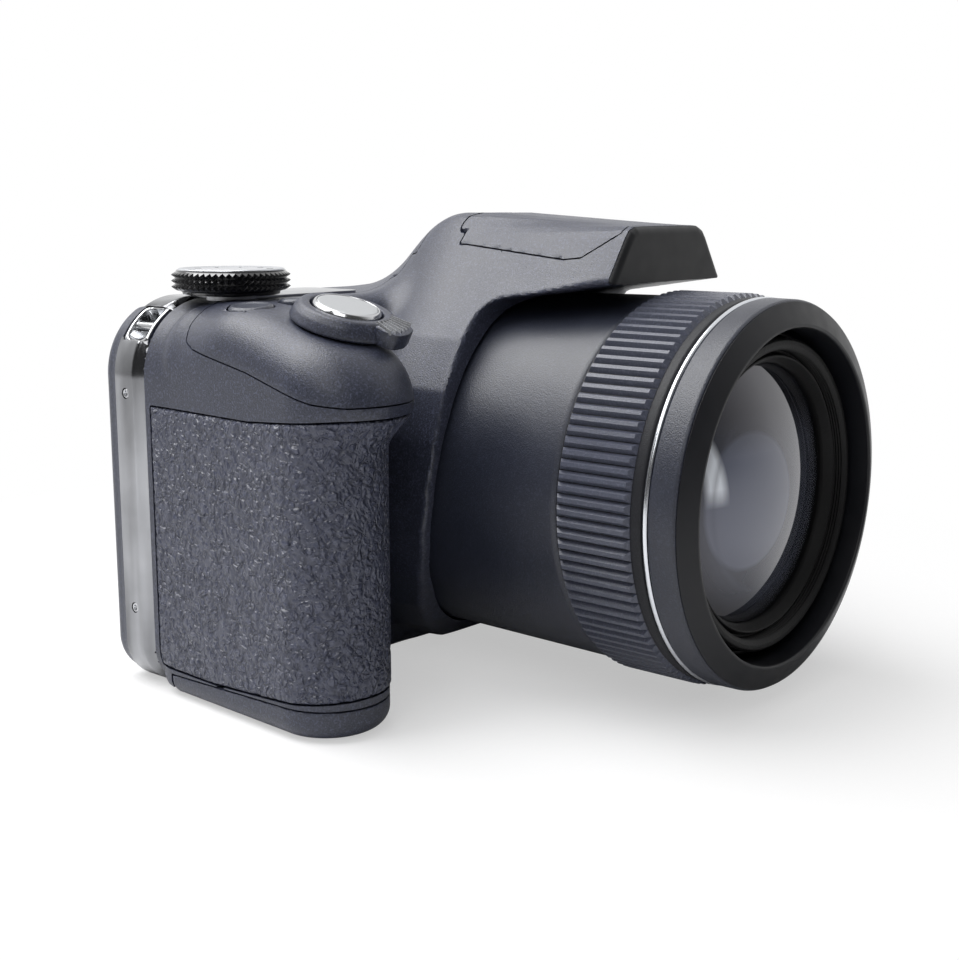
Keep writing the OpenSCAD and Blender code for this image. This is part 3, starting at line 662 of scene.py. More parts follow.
@dataclass(frozen=True)
class CoatedGlass(Finish):
    """Dark coated optic with rings of the inner elements showing in it, a painted reflection (a pale offset circle
    and a bright window patch) and painted shade across its top and rim.
    """

    centre: Point3 = (0.0, 0.0, 0.041)
    keep: Point3 = (1.0, 0.0, 1.0)
    radius: float = 0.0248

    def sockets(self, graph: Graph) -> dict[str, Any]:
        """Give the shader's socket values."""
        flat = graph.place(self.centre, self.keep)
        reach = graph.node("ShaderNodeVectorMath", {"operation": "LENGTH"}, {0: flat}, "Value") / self.radius
        across, rise = graph.part(flat, "X") / self.radius, graph.part(flat, "Z") / self.radius
        aside = across + 0.3
        # A pale circle set off to the left: painted reflection.
        painted_reflection_disc = graph.fit(graph.math("SQRT", aside * aside + rise * rise), 0.5, 0.54, 1.0, 0.0)
        # A bright window-shaped patch: painted reflection.
        pane = (graph.fit(graph.math("ABSOLUTE", across + 0.7 + rise * rise * 0.5), 0.05, 0.13, 1.0, 0.0)
                * graph.fit(graph.math("ABSOLUTE", rise - 0.3), 0.16, 0.3, 1.0, 0.0))
        band = graph.fit(graph.math("ABSOLUTE", reach - 0.74), 0.0, 0.04, 1.0, 0.0)
        tone = graph.mix(painted_reflection_disc * 0.8, self.colour, self.shade(3.2))
        tone = graph.mix(band * 0.4, graph.mix(pane * 0.95, tone, (0.9, 0.94, 1.0, 1)), self.shade(1.8))
        # Darker across the top and towards the rim: painted shade.
        shadow = graph.math("MAXIMUM", graph.fit(rise, 0.36, 0.66, 0.0, 0.88), graph.fit(reach, 0.8, 0.97, 0.0, 0.9))
        dust = graph.noise(graph.place(), 900.0, 3.0)
        return {"Base Color": graph.mix(shadow, tone, (0.004, 0.004, 0.006, 1)),
                "Roughness": graph.fit(dust, 0.35, 0.75, self.rough, self.rough + 0.03), "IOR": 1.5,
                "Specular Tint": (0.86, 0.84, 1.0, 1.0), "Coat Weight": 0.6, "Coat Roughness": 0.02}


@dataclass(frozen=True)
class CircuitBoard(Finish):
    """Board with copper runs under its mask."""

    def sockets(self, graph: Graph) -> dict[str, Any]:
        """Give the shader's socket values."""
        bricks = graph.node("ShaderNodeTexBrick", {}, {"Vector": graph.place(), "Scale": 260.0, "Mortar Size": 0.05,
                                                       "Color1": self.shade(0.8), "Color2": self.shade(1.3),
                                                       "Mortar": (0.42, 0.26, 0.08, 1)})
        cloud = graph.noise(graph.place(), 400.0, 2.0)
        return {"Base Color": bricks, "Roughness": graph.fit(cloud, 0.3, 0.7, self.rough, self.rough + 0.2)}


@dataclass(frozen=True)
class ScreenGlass(Finish):
    """Clear pane with the screen's lit area showing inside a black border."""

    centre: Point3 = (0.013, 0.0, 0.0395)
    half: Point2 = (0.0302, 0.0226)

    def sockets(self, graph: Graph) -> dict[str, Any]:
        """Give the shader's socket values."""
        flat = graph.place(self.centre)
        wide = graph.math("ABSOLUTE", graph.part(flat, "X")) / self.half[0]
        high = graph.math("ABSOLUTE", graph.part(flat, "Z")) / self.half[1]
        area = graph.fit(graph.math("MAXIMUM", wide, high), 0.996, 1.004, 1.0, 0.0)
        smear = graph.noise(flat, 60.0, 3.0)
        return {"Base Color": graph.mix(area, (0.003, 0.003, 0.003, 1), self.colour),
                "Roughness": graph.fit(smear, 0.3, 0.7, self.rough, self.rough + 0.05), "Coat Weight": 0.5,
                "Coat Roughness": 0.04}


# ---------------------------------------------------------------- repeated shapes


class Pattern:
    """A Geometry Nodes tree that sets copies of a shape on an arc round an axis, in several rows."""

    def __init__(self) -> None:
        """Build the tree."""
        self.tree = bpy.data.node_groups.new("arc_of_copies", "GeometryNodeTree")
        face = self.tree.interface
        for name, kind in (("Shape", "Object"), ("Count", "Int"), ("Rows", "Int"), ("Radius", "Float"),
                           ("Start", "Float"), ("Step", "Float"), ("Row Rise", "Float"), ("Tilt", "Float"),
                           ("Centre", "Vector"), ("Turn", "Vector"), ("Finish", "Material")):
            face.new_socket(name, in_out="INPUT", socket_type=f"NodeSocket{kind}")
        face.new_socket("Geometry", in_out="OUTPUT", socket_type="NodeSocketGeometry")
        graph = Graph(self.tree)
        given = self.tree.nodes.new("NodeGroupInput")
        value = {s.name: Val(graph, s) for s in given.outputs if s.name}
        index = graph.node("GeometryNodeInputIndex")
        row = graph.math("FLOOR", (index + 0.5) / value["Count"])
        angle = value["Start"] + (index - row * value["Count"]) * value["Step"]
        spot = graph.node("ShaderNodeCombineXYZ", {}, {"X": graph.math("COSINE", angle) * value["Radius"],
                                                       "Y": graph.math("SINE", angle) * value["Radius"],
                                                       "Z": row * value["Row Rise"]})
        points = graph.node("GeometryNodePoints", {}, {"Count": value["Count"] * value["Rows"], "Position": spot})
        shape = graph.node("GeometryNodeObjectInfo", {}, {"Object": value["Shape"]}, "Geometry")
        facing = graph.node("ShaderNodeCombineXYZ", {}, {"X": value["Tilt"], "Z": angle})
        copies = graph.node("GeometryNodeInstanceOnPoints", {}, {"Points": points, "Instance": shape,
                                                                 "Rotation": facing})
        placed = graph.node("GeometryNodeTransform", {}, {"Geometry": copies, "Translation": value["Centre"],
                                                          "Rotation": value["Turn"]})
        real = graph.node("GeometryNodeRealizeInstances", {}, {"Geometry": placed})
        coated = graph.node("GeometryNodeSetMaterial", {}, {"Geometry": real, "Material": value["Finish"]})
        graph.node("NodeGroupOutput", {}, {"Geometry": coated})

    def bake(self, name: str, shape: bpy.types.Mesh, **values: Any) -> bpy.types.Mesh:
        """Run the tree once and keep the result as a plain mesh.

        Args:
            name: Mesh name.
            shape: Shape to copy, at the origin and pointing along X.
            values: Inputs by name, with _ for a space.

        Returns:
            The mesh.
        """
        scene = bpy.context.scene.collection.objects
        pattern = bpy.data.objects.new(name + "_shape", shape)
        carrier = bpy.data.objects.new(name + "_carrier", bpy.data.meshes.new(name + "_carrier"))
        scene.link(pattern)
        scene.link(carrier)
        change = carrier.modifiers.new("copies", "NODES")
        change.node_group = self.tree
        values = {"Rows": 1, "Start": 0.0, "Row Rise": 0.0, "Tilt": 0.0, "Turn": (0.0, 0.0, 0.0), "Shape": pattern,
                  **{k.replace("_", " "): v for k, v in values.items()}}
        for item in self.tree.interface.items_tree:
            if item.in_out == "INPUT" and item.name in values:
                change[item.identifier] = values[item.name]
        graph = bpy.context.evaluated_depsgraph_get()
        mesh = bpy.data.meshes.new_from_object(carrier.evaluated_get(graph), depsgraph=graph)
        mesh.name = name
        for used in (carrier, pattern):
            bpy.data.objects.remove(used)
        return mesh


def wedge(name: str, length: float, base: float, top: float, height: float, lead: float) -> bpy.types.Mesh:
    """Make one ridge or tooth that stands along X, with its length along Z.

    Args:
        name: Mesh name.
        length: Length at the foot, in mm.
        base: Width at the foot.
        top: Width at the top.
        height: Height above the foot.
        lead: How much each end slopes in.

    Returns:
        The closed mesh, with its foot at X 0.
    """
    low = [(0, s * base / 2, z) for s, z in ((-1, 0), (1, 0), (1, length), (-1, length))]
    high = [(height, s * top / 2, z) for s, z in ((-1, lead), (1, lead), (1, length - lead), (-1, length - lead))]
    faces = [(0, 1, 5, 4), (1, 2, 6, 5), (2, 3, 7, 6), (3, 0, 4, 7), (4, 5, 6, 7), (3, 2, 1, 0)]
    return make_mesh(name, np.array(low + high, float), np.array(faces))


# ---------------------------------------------------------------- the bench that pieces are put on


class Bench:
    """Holds the frame and the finishes, and puts pieces on their bodies."""

    def __init__(self, frame: dict[str, Any]) -> None:
        """Make every finish.
        """
        self.frame = frame
        self.pattern = Pattern()
        finishes = {
            "shell": SatinPlastic("satin_shell", paint(45, 48, 61), 0.39, speckle=0.55),
            "leatherette": Leatherette("grained_covering", paint(66, 69, 85), 0.4),
            "chrome": PolishedMetal("bright_trim", paint(196, 197, 199), 0.12),
            "black_panel": GlossPlastic("dark_panel", paint(17, 18, 21), 0.42, coat=0.0, shine=0.35),
            "lamp": GlossPlastic("lamp_window", paint(52, 22, 24), 0.12, coat=0.8),
            "steel": PolishedMetal("plain_steel", paint(188, 189, 192), 0.22),
            "frame_metal": PolishedMetal("stamped_frame", paint(180, 181, 184), 0.35),
            "barrel": SatinPlastic("satin_barrel", paint(36, 39, 50), 0.38, speckle=0.25),
            "ring_rubber": SatinPlastic("ring_covering", paint(66, 69, 82), 0.36, speckle=0.2),
            "silver": SpunMetal("thin_bright_ring", paint(214, 217, 222), 0.14, (0, 0, 0.041), (1, 0, 1)),
            "tube_black": SatinPlastic("tube_black", paint(6, 6, 7), 0.5, speckle=0.2, shine=0.2),
            "optic": CoatedGlass("coated_glass", paint(58, 61, 71), 0.03),
            "board": CircuitBoard("circuit_board", paint(22, 74, 46), 0.4),
            "unit": SatinPlastic("inner_unit", paint(54, 55, 58), 0.5),
            "screen": ScreenGlass("screen_glass", paint(46, 50, 58), 0.06),
            "dial_black": GlossPlastic("dial_black", paint(15, 15, 18), 0.14, coat=0.6),
            "dial_silver": SpunMetal("dial_face", paint(196, 198, 202), 0.24, (-0.0547, -0.002, 0), (1, 1, 0)),
            "button_grey": SpunMetal("button_face", paint(186, 188, 190), 0.34, (-0.056, -0.0345, 0), (1, 1, 0)),
            "button_dark": SatinPlastic("button_dark", paint(54, 57, 68), 0.36, speckle=0.15),
            "button_red": GlossPlastic("button_red", paint(150, 26, 30), 0.3),
            "clear": GlossPlastic("clear_window", paint(188, 190, 194), 0.12, coat=0.8),
            "bevel_black": GlossPlastic("bevel_black", paint(15, 16, 21), 0.4, coat=0.0, shine=0.35),
            # The side strip's base colour is strongly streaked along its height: painted reflection.
            "strip": PolishedMetal("strip_metal", paint(142, 143, 146), 0.1, (1.0, 1.0, 0.1), 0.5),
            # Darker than the ring's ridges: painted shade in the valleys between them.
            "groove": SatinPlastic("ring_valley_painted_shade", paint(20, 21, 26), 0.5, speckle=0.2, shine=0.3),
            "inlay": PolishedMetal("brushed_inlay", paint(176, 177, 179), 0.26, (0.05, 1.0, 1.0)),
            "mark": GlossPlastic("pale_mark", paint(196, 198, 202), 0.45, coat=0.0),
        }
        self.finish = {slot: finish.make() for slot, finish in finishes.items()}
        self.slots = [m["slot"] for m in frame["record"]["materials"]]

    def piece(self, name: str, mesh: bpy.types.Mesh, body: str, slot: str, replaces: Sequence[str] = (),
              angle: float = 30.0, finish: str = "", bevel: float = 0.0) -> bpy.types.Object:
        """Put a finished mesh on a body.

        Args:
            name: Piece name.
            mesh: Its mesh, in place.
            body: Body that it rides on.
            slot: Slot that it takes its finish from.
            replaces: Solids that it stands for.
            angle: Edges sharper than this stay sharp.
            finish: Finish to use where it isn't the slot's own.
            bevel: Width of a softened edge in mm, left out where it is 0.

        Returns:
            The piece.
        """
        mesh.materials.clear()
        mesh.materials.append(self.finish[finish or slot])
        mesh.shade_smooth()
        mesh.set_sharp_from_angle(angle=math.radians(angle))
        made = bpy.data.objects.new(name, mesh)
        bpy.context.scene.collection.objects.link(made)
        if bevel:
            soft = made.modifiers.new("soft_edges", "BEVEL")
            soft.width, soft.segments, soft.limit_method = bevel * MM, 2, "ANGLE"
            soft.angle_limit = math.radians(50)
        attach(made, body)
        if replaces:
            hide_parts(*replaces)
        LOG.info("%s: %d faces on %s", name, len(mesh.polygons), body)
        return made

    def carry(self) -> None:
        """Dress every solid that still shows in its slot's finish."""
        for part in self.frame["record"]["subparts"]:
            node = self.frame["nodes"][part["node"]]
            node.data.materials.clear()
            node.data.materials.append(self.finish[part["material_slot"]])
            LOG.info("%s carried in %s", part["node"], part["material_slot"])


# ---------------------------------------------------------------- the body's form and its mouldings


@dataclass
class BodyForm:
    """Outer form of the body and the zones that part it, as fields in mm."""

    left: float = -72.0
    right: float = 52.0
    front: float = -13.0
    back: float = 16.0
    height: float = 77.0
    top_corner: float = 15.0
    low_corner: float = 9.0
    right_corner: float = 13.0
    edge: float = 3.5
    lens_z: float = 41.0
    bore: float = 37.2
    tilt: float = math.tan(math.radians(17))
    deck_y: float = -22.0
    wall: float = 2.0
    grip_plan: tuple[Point3, ...] = ((-62.4, -35.8, 11.2), (-64.5, -1.4, 7.5), (-48, -9, 7.5))
    rest_plan: tuple[Point3, ...] = ((-60.3, -37.7, 13.3), (-64, -4, 8), (-46.5, -9, 8))
    hood_half: tuple[Point2, ...] = ((-60, 93.4), (5.4, 93.4), (8.2, 92.7), (10.4, 90.6), (22, 77.6), (30, 69.6),
                                     (35.8, 60), (38.6, 50.5), (39.5, 41), (38.4, 31.6), (35, 22.6), (29.6, 14.8),
                                     (22, 8.2), (12, 3.4), (0, 1.5), (-60, 1.5))
    nose_half: tuple[Point2, ...] = ((-60, 91), (10.8, 91), (12.6, 90.3), (13.8, 88.9), (18.9, 81.2), (23.4, 75.8),
                                     (30, 69), (35.8, 60), (38.6, 50.5), (39.5, 41), (38.4, 31.6), (35, 22.6),
                                     (29.6, 14.8), (22, 8.2), (12, 3.4), (0, 1.5), (-60, 1.5))
    side: tuple[Point2, ...] = ((-67.5, 110), (-67.5, 80.4), (-44, 77.1), (-42.2, 76.6), (-40.8, 75.7),
                                (-40, 74.4), (-39.8, 72.4), (-40.2, 69), (-40.7, 62), (-40.9, 55), (-40.4, 47),
                                (-39, 38), (-36.4, 29), (-32, 19), (-25.5, 9), (-19, 2), (-6, 2), (-6, 62),
                                (14, 62), (14, 110))
    rear_zone: tuple[Point2, ...] = ((4, -50), (4, 73), (-6.7, 73), (-6.7, 79.4), (-8.8, 80.4), (-9.2, 84.6),
                                     (-11.5, 85), (-11.5, 150), (80, 150), (80, -50))
    top_zone: tuple[Point2, ...] = ((-6.9, 150), (-6.9, 72.8), (-8.1, 70), (-10.7, 68.8), (-27, 65.8),
                                    (-37.6, 63), (-43, 61.4), (-48, 60.7), (-120, 60.7), (-120, 150))
    leather_zone: tuple[Point2, ...] = ((2.4, 5.4), (2.4, 57.2), (-27, 57), (-47, 58.4), (-120, 58.4),
                                        (-120, 7.6), (-47, 7.5), (-15, 5.4))
    door_zone: tuple[Point2, ...] = ((0, -50), (0, 4.1), (-35.8, 5.7), (-120, 5.7), (-120, -50))
    lid_zone: tuple[Point2, ...] = ((-25.2, 150), (-25.2, 87.2), (-27.2, 87.2), (-54, 84.8), (-58, 85.2),
                                    (-65, 89.8), (-65.6, 150))

    def face(self, x: Array, z: Array) -> Array:
        """Measure the main block's outline seen from the front."""
        mid, half = (self.left + self.right) / 2, (self.right - self.left) / 2
        radius = np.where(x < mid, np.where(z > self.height / 2, self.top_corner, self.low_corner),
                          self.right_corner)
        across = np.abs(x - mid) - half + radius
        up = np.abs(z - self.height / 2) - self.height / 2 + radius
        return (np.minimum(np.maximum(across, up), 0.0)
                + np.hypot(np.maximum(across, 0.0), np.maximum(up, 0.0)) - radius)

    def slab(self, x: Array, y: Array, z: Array) -> Array:
        """Measure the main block with its rounded edges."""
        face = self.face(x, z)
        deep = np.abs(y - (self.front + self.back) / 2) - (self.back - self.front) / 2
        return round_edge(face, deep, self.edge)

    def grip(self, x: Array, y: Array, z: Array) -> Array:
        """Measure the grip, with its finger step and sloping deck."""
        low = outline_distance(x, y, hull_outline(self.grip_plan))
        wide = outline_distance(x, y, hull_outline(self.rest_plan))
        wall = low + (wide - low) * ramp(z, 51.0, 60.0) ** 1.3
        deck = (z - self.height + soft_max(np.zeros_like(y), self.deck_y - y, 8.0) * self.tilt) * 0.96
        edge = 8.5 + 4.0 * ramp(y, -20.0, -5.0) * ramp(-x, 50.0, 60.0)
        return round_edge(round_edge(wall, deck, edge), -z, 3.6)

    def thumb(self, x: Array, y: Array, z: Array) -> Array:
        """Measure the low ridge down the back, behind the bright strip."""
        return soft_max(round_edge(self.face(x, z) + 0.3, y - 17.9, 3.0), x + 61.9, 2.5)

    def wing(self, x: Array, y: Array, z: Array) -> Array:
        """Measure the hood beside the lens and the hump above it, which are one form."""
        side = np.abs(x)
        hood = outline_distance(side, z, self.hood_half)
        nose = outline_distance(side, z, self.nose_half)
        reach = np.clip((-29.0 - y) / 38.5, 0.0, 1.0)
        spread = 0.1 * np.clip(y + 34.0, 0.0, 24.0) * (1.0 - ramp(z, 62.0, 78.0))
        section = hood + (nose - hood) * reach - spread
        form = round_edge(section, outline_distance(y, z, self.side), 0.8 + 0.9 * ramp(-y, 50.0, 62.0))
        slope = 0.66 * (y + 9.0) + 0.75 * (z - 91.2)
        flank = 0.69 * (side - 10.0) + 0.565 * (y + 11.5) + 0.4525 * (z - 90.7)
        return soft_max(soft_max(form, slope, 6.0), flank, 7.0)

    def whole(self, x: Array, y: Array, z: Array) -> Array:
        """Measure the whole outer form, without the lens opening."""
        blend = 3.0 * ramp(x, -60.0, -52.0) * (1.0 - ramp(z, 60.0, 72.0)) * ramp(z, 2.0, 8.0) + 0.05
        body = soft_min(self.slab(x, y, z), self.grip(x, y, z), blend)
        body = soft_min(body, np.maximum(self.thumb(x, y, z), 6.0 - y), 0.4)
        return soft_min(body, self.wing(x, y, z), 3.5 + 4.0 * ramp(z, 68.0, 76.0))

    def zone(self, y: Array, z: Array, outline: Sequence[Point2]) -> Array:
        """Measure a zone drawn on the side view."""
        return outline_distance(y, z, outline)

    def tube(self, u: Array, v: Array, centre: Point2, radius: float) -> Array:
        """Measure a round hole, negative inside it."""
        return np.hypot(u - centre[0], v - centre[1]) - radius


@dataclass
class BodyShells:
    """The mouldings, the grip covering, the battery door and the bright side strip."""

    form: BodyForm
    gap: float = 0.14
    run: float = 0.3
    deck_x: float = -40.0
    grain_depth: float = 0.08
    strip_back: float = 12.7
    screws: Point2 = (16.0, 59.0)
    door_hinge: Point2 = (0.0, 2.2)
    door_end: float = -47.6
    lid_hinge: Point2 = (-25.2, 91.2)

    @property
    def lugs(self) -> dict[int, Point2]:
        """Give the middle of each strap lug, seen from the front."""
        return {-1: (-66.2, 71.2), 1: (46.8, 71.8)}

    def cut(self, grid: FieldGrid, outline: Sequence[Point2], x_end: float | None = None) -> Array:
        """Measure a zone on a grid, with an end in x where it has one."""
        zone = self.form.zone(grid.y, grid.z, outline)
        return zone if x_end is None else np.maximum(zone, grid.x - x_end)

    def rear_field(self, grid: FieldGrid) -> Array:
        """Measure the rear moulding's zone, which stays behind the bright strip at the grip."""
        return np.maximum(self.cut(grid, self.form.rear_zone), np.minimum(4.0 - grid.y, -48.0 - grid.x))

    def door_field(self, grid: FieldGrid) -> Array:
        """Measure the battery door's zone with its hinge barrel."""
        hinge = np.maximum(self.form.tube(grid.y, grid.z, self.door_hinge, 2.2), -65.2 - grid.x)
        zone = np.minimum(self.cut(grid, self.form.door_zone), hinge)
        return np.maximum(np.maximum(zone, np.minimum(grid.y + 1.2, -66.0 - grid.x)), grid.x - self.door_end)

    def lid_field(self, grid: FieldGrid) -> Array:
        """Measure the flash lid's zone with its hinge barrel."""
        barrel = np.maximum(self.form.tube(grid.y, grid.z, self.lid_hinge, 2.2), np.abs(grid.x) - 11.0)
        return np.minimum(self.cut(grid, self.form.lid_zone), barrel)

    def deck_holes(self, grid: FieldGrid) -> Array:
        """Measure the openings for the controls on the grip's deck."""
        power = np.maximum(self.form.tube(grid.x, grid.y, (-63.5, -18), 4.5), 60.0 - grid.z)
        drive = np.maximum(self.form.tube(grid.x, grid.y, (-53, -19), 3.7), 60.0 - grid.z)
        lean = math.radians(17)
        ahead = (grid.y + 34.5) * math.cos(lean) + (grid.z - 73.18) * math.sin(lean)
        rise = -(grid.y + 34.5) * math.sin(lean) + (grid.z - 73.18) * math.cos(lean)
        well = np.maximum(np.hypot(grid.x + 56.0, ahead) - 10.3, 0.25 - rise)
        neck = np.maximum(np.hypot(grid.x + 56.0, ahead) - 5.2, -6.0 - rise)
        return np.minimum(np.minimum(power, drive), np.minimum(well, neck))

    def build(self, bench: Bench) -> None:
        """Make and dress every moulding.

        Args:
            bench: Where the pieces go.
        """
        self.front(bench)
        self.panel(bench)
        self.rear(bench)
        self.deck(bench)
        self.covering(bench)
        self.door(bench)
        self.lid(bench)
        self.strip(bench)
        self.lug(bench, -1, "grip_lug", "strap_lug_right")
        self.lug(bench, 1, "far_lug", "strap_lug_left")

    def front(self, bench: Bench) -> None:
        """Make the front moulding with the hood and the hump."""
        form = self.form
        grid = FieldGrid([(-77, 56, 0.74)], [(-71, -36, 0.56), (-36, 8, 0.76)],
                         [(-2, 3.4, 0.7), (3.4, 8.6, 0.34), (8.6, 72, 0.8), (72, 83, 0.48), (83, 97, 0.7)])
        outer = form.whole(grid.x, grid.y, grid.z)
        lid = self.lid_field(grid)
        bore = np.maximum(form.tube(grid.x, grid.z, (0, form.lens_z), 0.0) - form.bore
                          + 0.5 * ramp(grid.y, -34.0, -30.0), grid.y + 8.0)
        slot = np.minimum(np.maximum(grid.z - 2.2, -66.0 - grid.x), grid.z - 1.5)
        slot = np.maximum(np.maximum(-1.0 - grid.y, grid.y - 2.55), np.maximum(slot, grid.x + 47.1))
        lamp = np.maximum(form.tube(grid.x, grid.z, (-37, 68), 3.2), grid.y + 11.0)
        key = np.maximum(form.tube(grid.y, grid.z, (-18.5, 82), 2.9), 8.0 - grid.x)
        port = np.maximum(np.maximum(-7.8 - grid.y, grid.y - 1.8), np.maximum(26.2 - grid.z, grid.z - 51.8))
        port = np.maximum(port, 50.3 - grid.x)
        parts = [outer, np.minimum(-(outer + form.wall), lid - 2.0), self.gap - self.rear_field(grid),
                 self.gap - self.cut(grid, form.top_zone, self.deck_x),
                 self.gap - self.cut(grid, form.leather_zone, -47.0), self.run - self.door_field(grid),
                 self.run - lid, -bore, np.maximum.reduce([-slot, -key]), np.maximum.reduce([-lamp, -port]),
                 -66.45 - grid.y]
        bench.piece("front_moulding", make_mesh("front_moulding", *grid.mesh(parts)), "body", "shell",
                    ["front_shell"], bevel=0.16)

    def panel(self, bench: Bench) -> None:
        """Make the dark panel that closes the nose."""
        grid = FieldGrid([(-22, 22, 0.3)], [(-69, -65, 0.25)], [(78, 93, 0.3)])
        mesh = make_mesh("nose_plate", *grid.mesh([self.form.whole(grid.x, grid.y, grid.z), grid.y + 66.55]))
        bench.piece("nose_plate", mesh, "body", "black_panel", ["nose_panel"])

    def rear(self, bench: Bench) -> None:
        """Make the rear moulding with the screen and button openings."""
        form = self.form
        grid = FieldGrid([(-75, 55, 0.68)], [(-13, 20, 0.62)], [(-2, 96, 0.68)])
        outer = form.whole(grid.x, grid.y, grid.z)
        rear = self.rear_field(grid)
        window = np.maximum(round_edge(np.abs(grid.x - 13) - 33.3, np.abs(grid.z - 39.5) - 25.3, 2.5), 12.5 - grid.y)
        holes = window
        for x, z, r in ((-42, 66, 4.3), (-58, 16.5, 3.9), (-41, 16.5, 3.9), (-49, 34.5, 11.3)):
            holes = np.minimum(holes, np.maximum(form.tube(grid.x, grid.z, (x, z), r), 10.0 - grid.y))
        band = np.maximum(np.maximum(4.25 - grid.y, grid.y - self.strip_back - 0.12), grid.x + 49.8)
        band = np.maximum(np.maximum(band, 0.4 - grid.z), -(outer + 1.5))
        band = np.minimum(band, self.lug_hole(grid, -1, 0.1))
        socket = np.maximum(form.tube(grid.x, grid.y, (0, 0), 7.2), grid.z - 3.0)
        parts = [outer, -(outer + form.wall), rear + self.gap, -holes, -band,
                 np.maximum.reduce([-socket, -self.lug_hole(grid, 1, 0.1)])]
        bench.piece("rear_moulding", make_mesh("rear_moulding", *grid.mesh(parts)), "body", "shell", ["rear_cover"])

    def deck(self, bench: Bench) -> None:
        """Make the grip's top moulding."""
        form = self.form
        grid = FieldGrid([(-76, -38, 0.45)], [(-53, -4, 0.45)], [(57, 79, 0.45)])
        outer = form.whole(grid.x, grid.y, grid.z)
        bore = form.tube(grid.x, grid.z, (0, form.lens_z), form.bore + 0.4)
        parts = [outer, -(outer + form.wall), self.cut(grid, form.top_zone, self.deck_x) + self.gap,
                 self.gap - self.rear_field(grid), -self.deck_holes(grid), -bore]
        bench.piece("deck_moulding", make_mesh("deck_moulding", *grid.mesh(parts)), "body", "shell", ["top_cover"],
                    bevel=0.16)

    def covering(self, bench: Bench) -> None:
        """Make the grained covering, with its wrinkles in the mesh."""
        form = self.form
        grid = FieldGrid([(-77, -46, 0.34)], [(-53, 4, 0.34)], [(3, 61, 0.34)])
        outer = form.whole(grid.x, grid.y, grid.z)
        zone = self.cut(grid, form.leather_zone, -47.0)
        parts = [soft_max(outer - 0.2, zone + self.gap, 0.9), -(outer + 1.6)]
        points, faces = grid.mesh(parts)
        mesh = make_mesh("grip_covering", points, faces)
        height = self.wrinkles(points)
        normal = np.zeros(len(points) * 3, np.float32)
        mesh.vertices.foreach_get("normal", normal)
        level = np.interp(form.whole(*(points[:, i].astype(np.float32) for i in range(3))), (-0.7, 0.0), (0.0, 1.0))
        moved = points + normal.reshape(-1, 3) * (height * level * self.grain_depth)[:, None]
        mesh.vertices.foreach_set("co", (moved * MM).astype(np.float32).ravel())
        grain = mesh.attributes.new("grain", "FLOAT", "POINT")
        grain.data.foreach_set("value", (height * 0.5 + 0.5).astype(np.float32))
        bench.piece("grip_covering", mesh, "body", "leatherette", ["grip_cover"], angle=50)

    def wrinkles(self, points: Array) -> Array:
        """Give the height of the leather grain, from -1 to 1.

        Args:
            points: Places in mm.

        Returns:
            Heights.
        """
        rng = np.random.default_rng(11)
        bend = np.stack([self.waves(points, rng, 0.9, 10) for _ in range(3)], 1)
        cells = self.waves(points + bend * 0.5, rng, 2.9, 30)
        wide = self.waves(points, rng, 1.5, 14)
        groove = np.exp(-((cells + 0.35 * wide) / 0.42) ** 2)
        return np.clip(0.75 - 1.7 * groove + 0.15 * cells, -1.0, 1.0)

    def waves(self, points: Array, rng: np.random.Generator, pace: float, count: int) -> Array:
        """Add up plane waves in many directions.

        Args:
            points: Places in mm.
            rng: Seeded source of directions.
            pace: Waves per mm, times two pi.
            count: How many waves.

        Returns:
            Heights of about unit size.
        """
        total = np.zeros(len(points))
        for _ in range(count):
            way = rng.normal(size=3)
            way *= pace * rng.uniform(0.75, 1.25) / np.linalg.norm(way)
            total += np.sin(points @ way + rng.uniform(0, 6.28))
        return total * math.sqrt(2.0 / count)

    def door(self, bench: Bench) -> None:
        """Make the battery door at the grip's foot."""
        form = self.form
        grid = FieldGrid([(-77, -46, 0.45)], [(-50, 4, 0.45)], [(-1, 7.4, 0.4)])
        outer = form.whole(grid.x, grid.y, grid.z)
        zone = np.maximum(self.cut(grid, form.door_zone), grid.x - self.door_end)
        barrel = np.maximum(form.tube(grid.y, grid.z, self.door_hinge, 2.1),
                            np.maximum(grid.x - self.door_end, -65.0 - grid.x))
        shell = np.maximum.reduce([outer, np.broadcast_to(zone, grid.shape), -(outer + 2.4)])
        pin = form.tube(grid.y, grid.z, self.door_hinge, 0.9)
        parts = [np.minimum(np.maximum(shell, grid.y + 1.2), barrel), -pin]
        bench.piece("battery_hatch", make_mesh("battery_hatch", *grid.mesh(parts)), "door", "shell",
                    ["battery_door"])

    def lid(self, bench: Bench) -> None:
        """Make the flash lid on the hump."""
        form = self.form
        grid = FieldGrid([(-24, 24, 0.45)], [(-68, -21, 0.45)], [(82, 96, 0.4)])
        outer = form.whole(grid.x, grid.y, grid.z)
        zone = self.cut(grid, form.lid_zone)
        hinge = np.maximum(form.tube(grid.y, grid.z, self.lid_hinge, 2.15), np.abs(grid.x) - 10.7)
        parts = [np.maximum(outer, -(outer + 1.8)), np.minimum(zone, hinge)]
        bench.piece("flash_lid", make_mesh("flash_lid", *grid.mesh(parts)), "flash", "shell", ["flash_cover"])

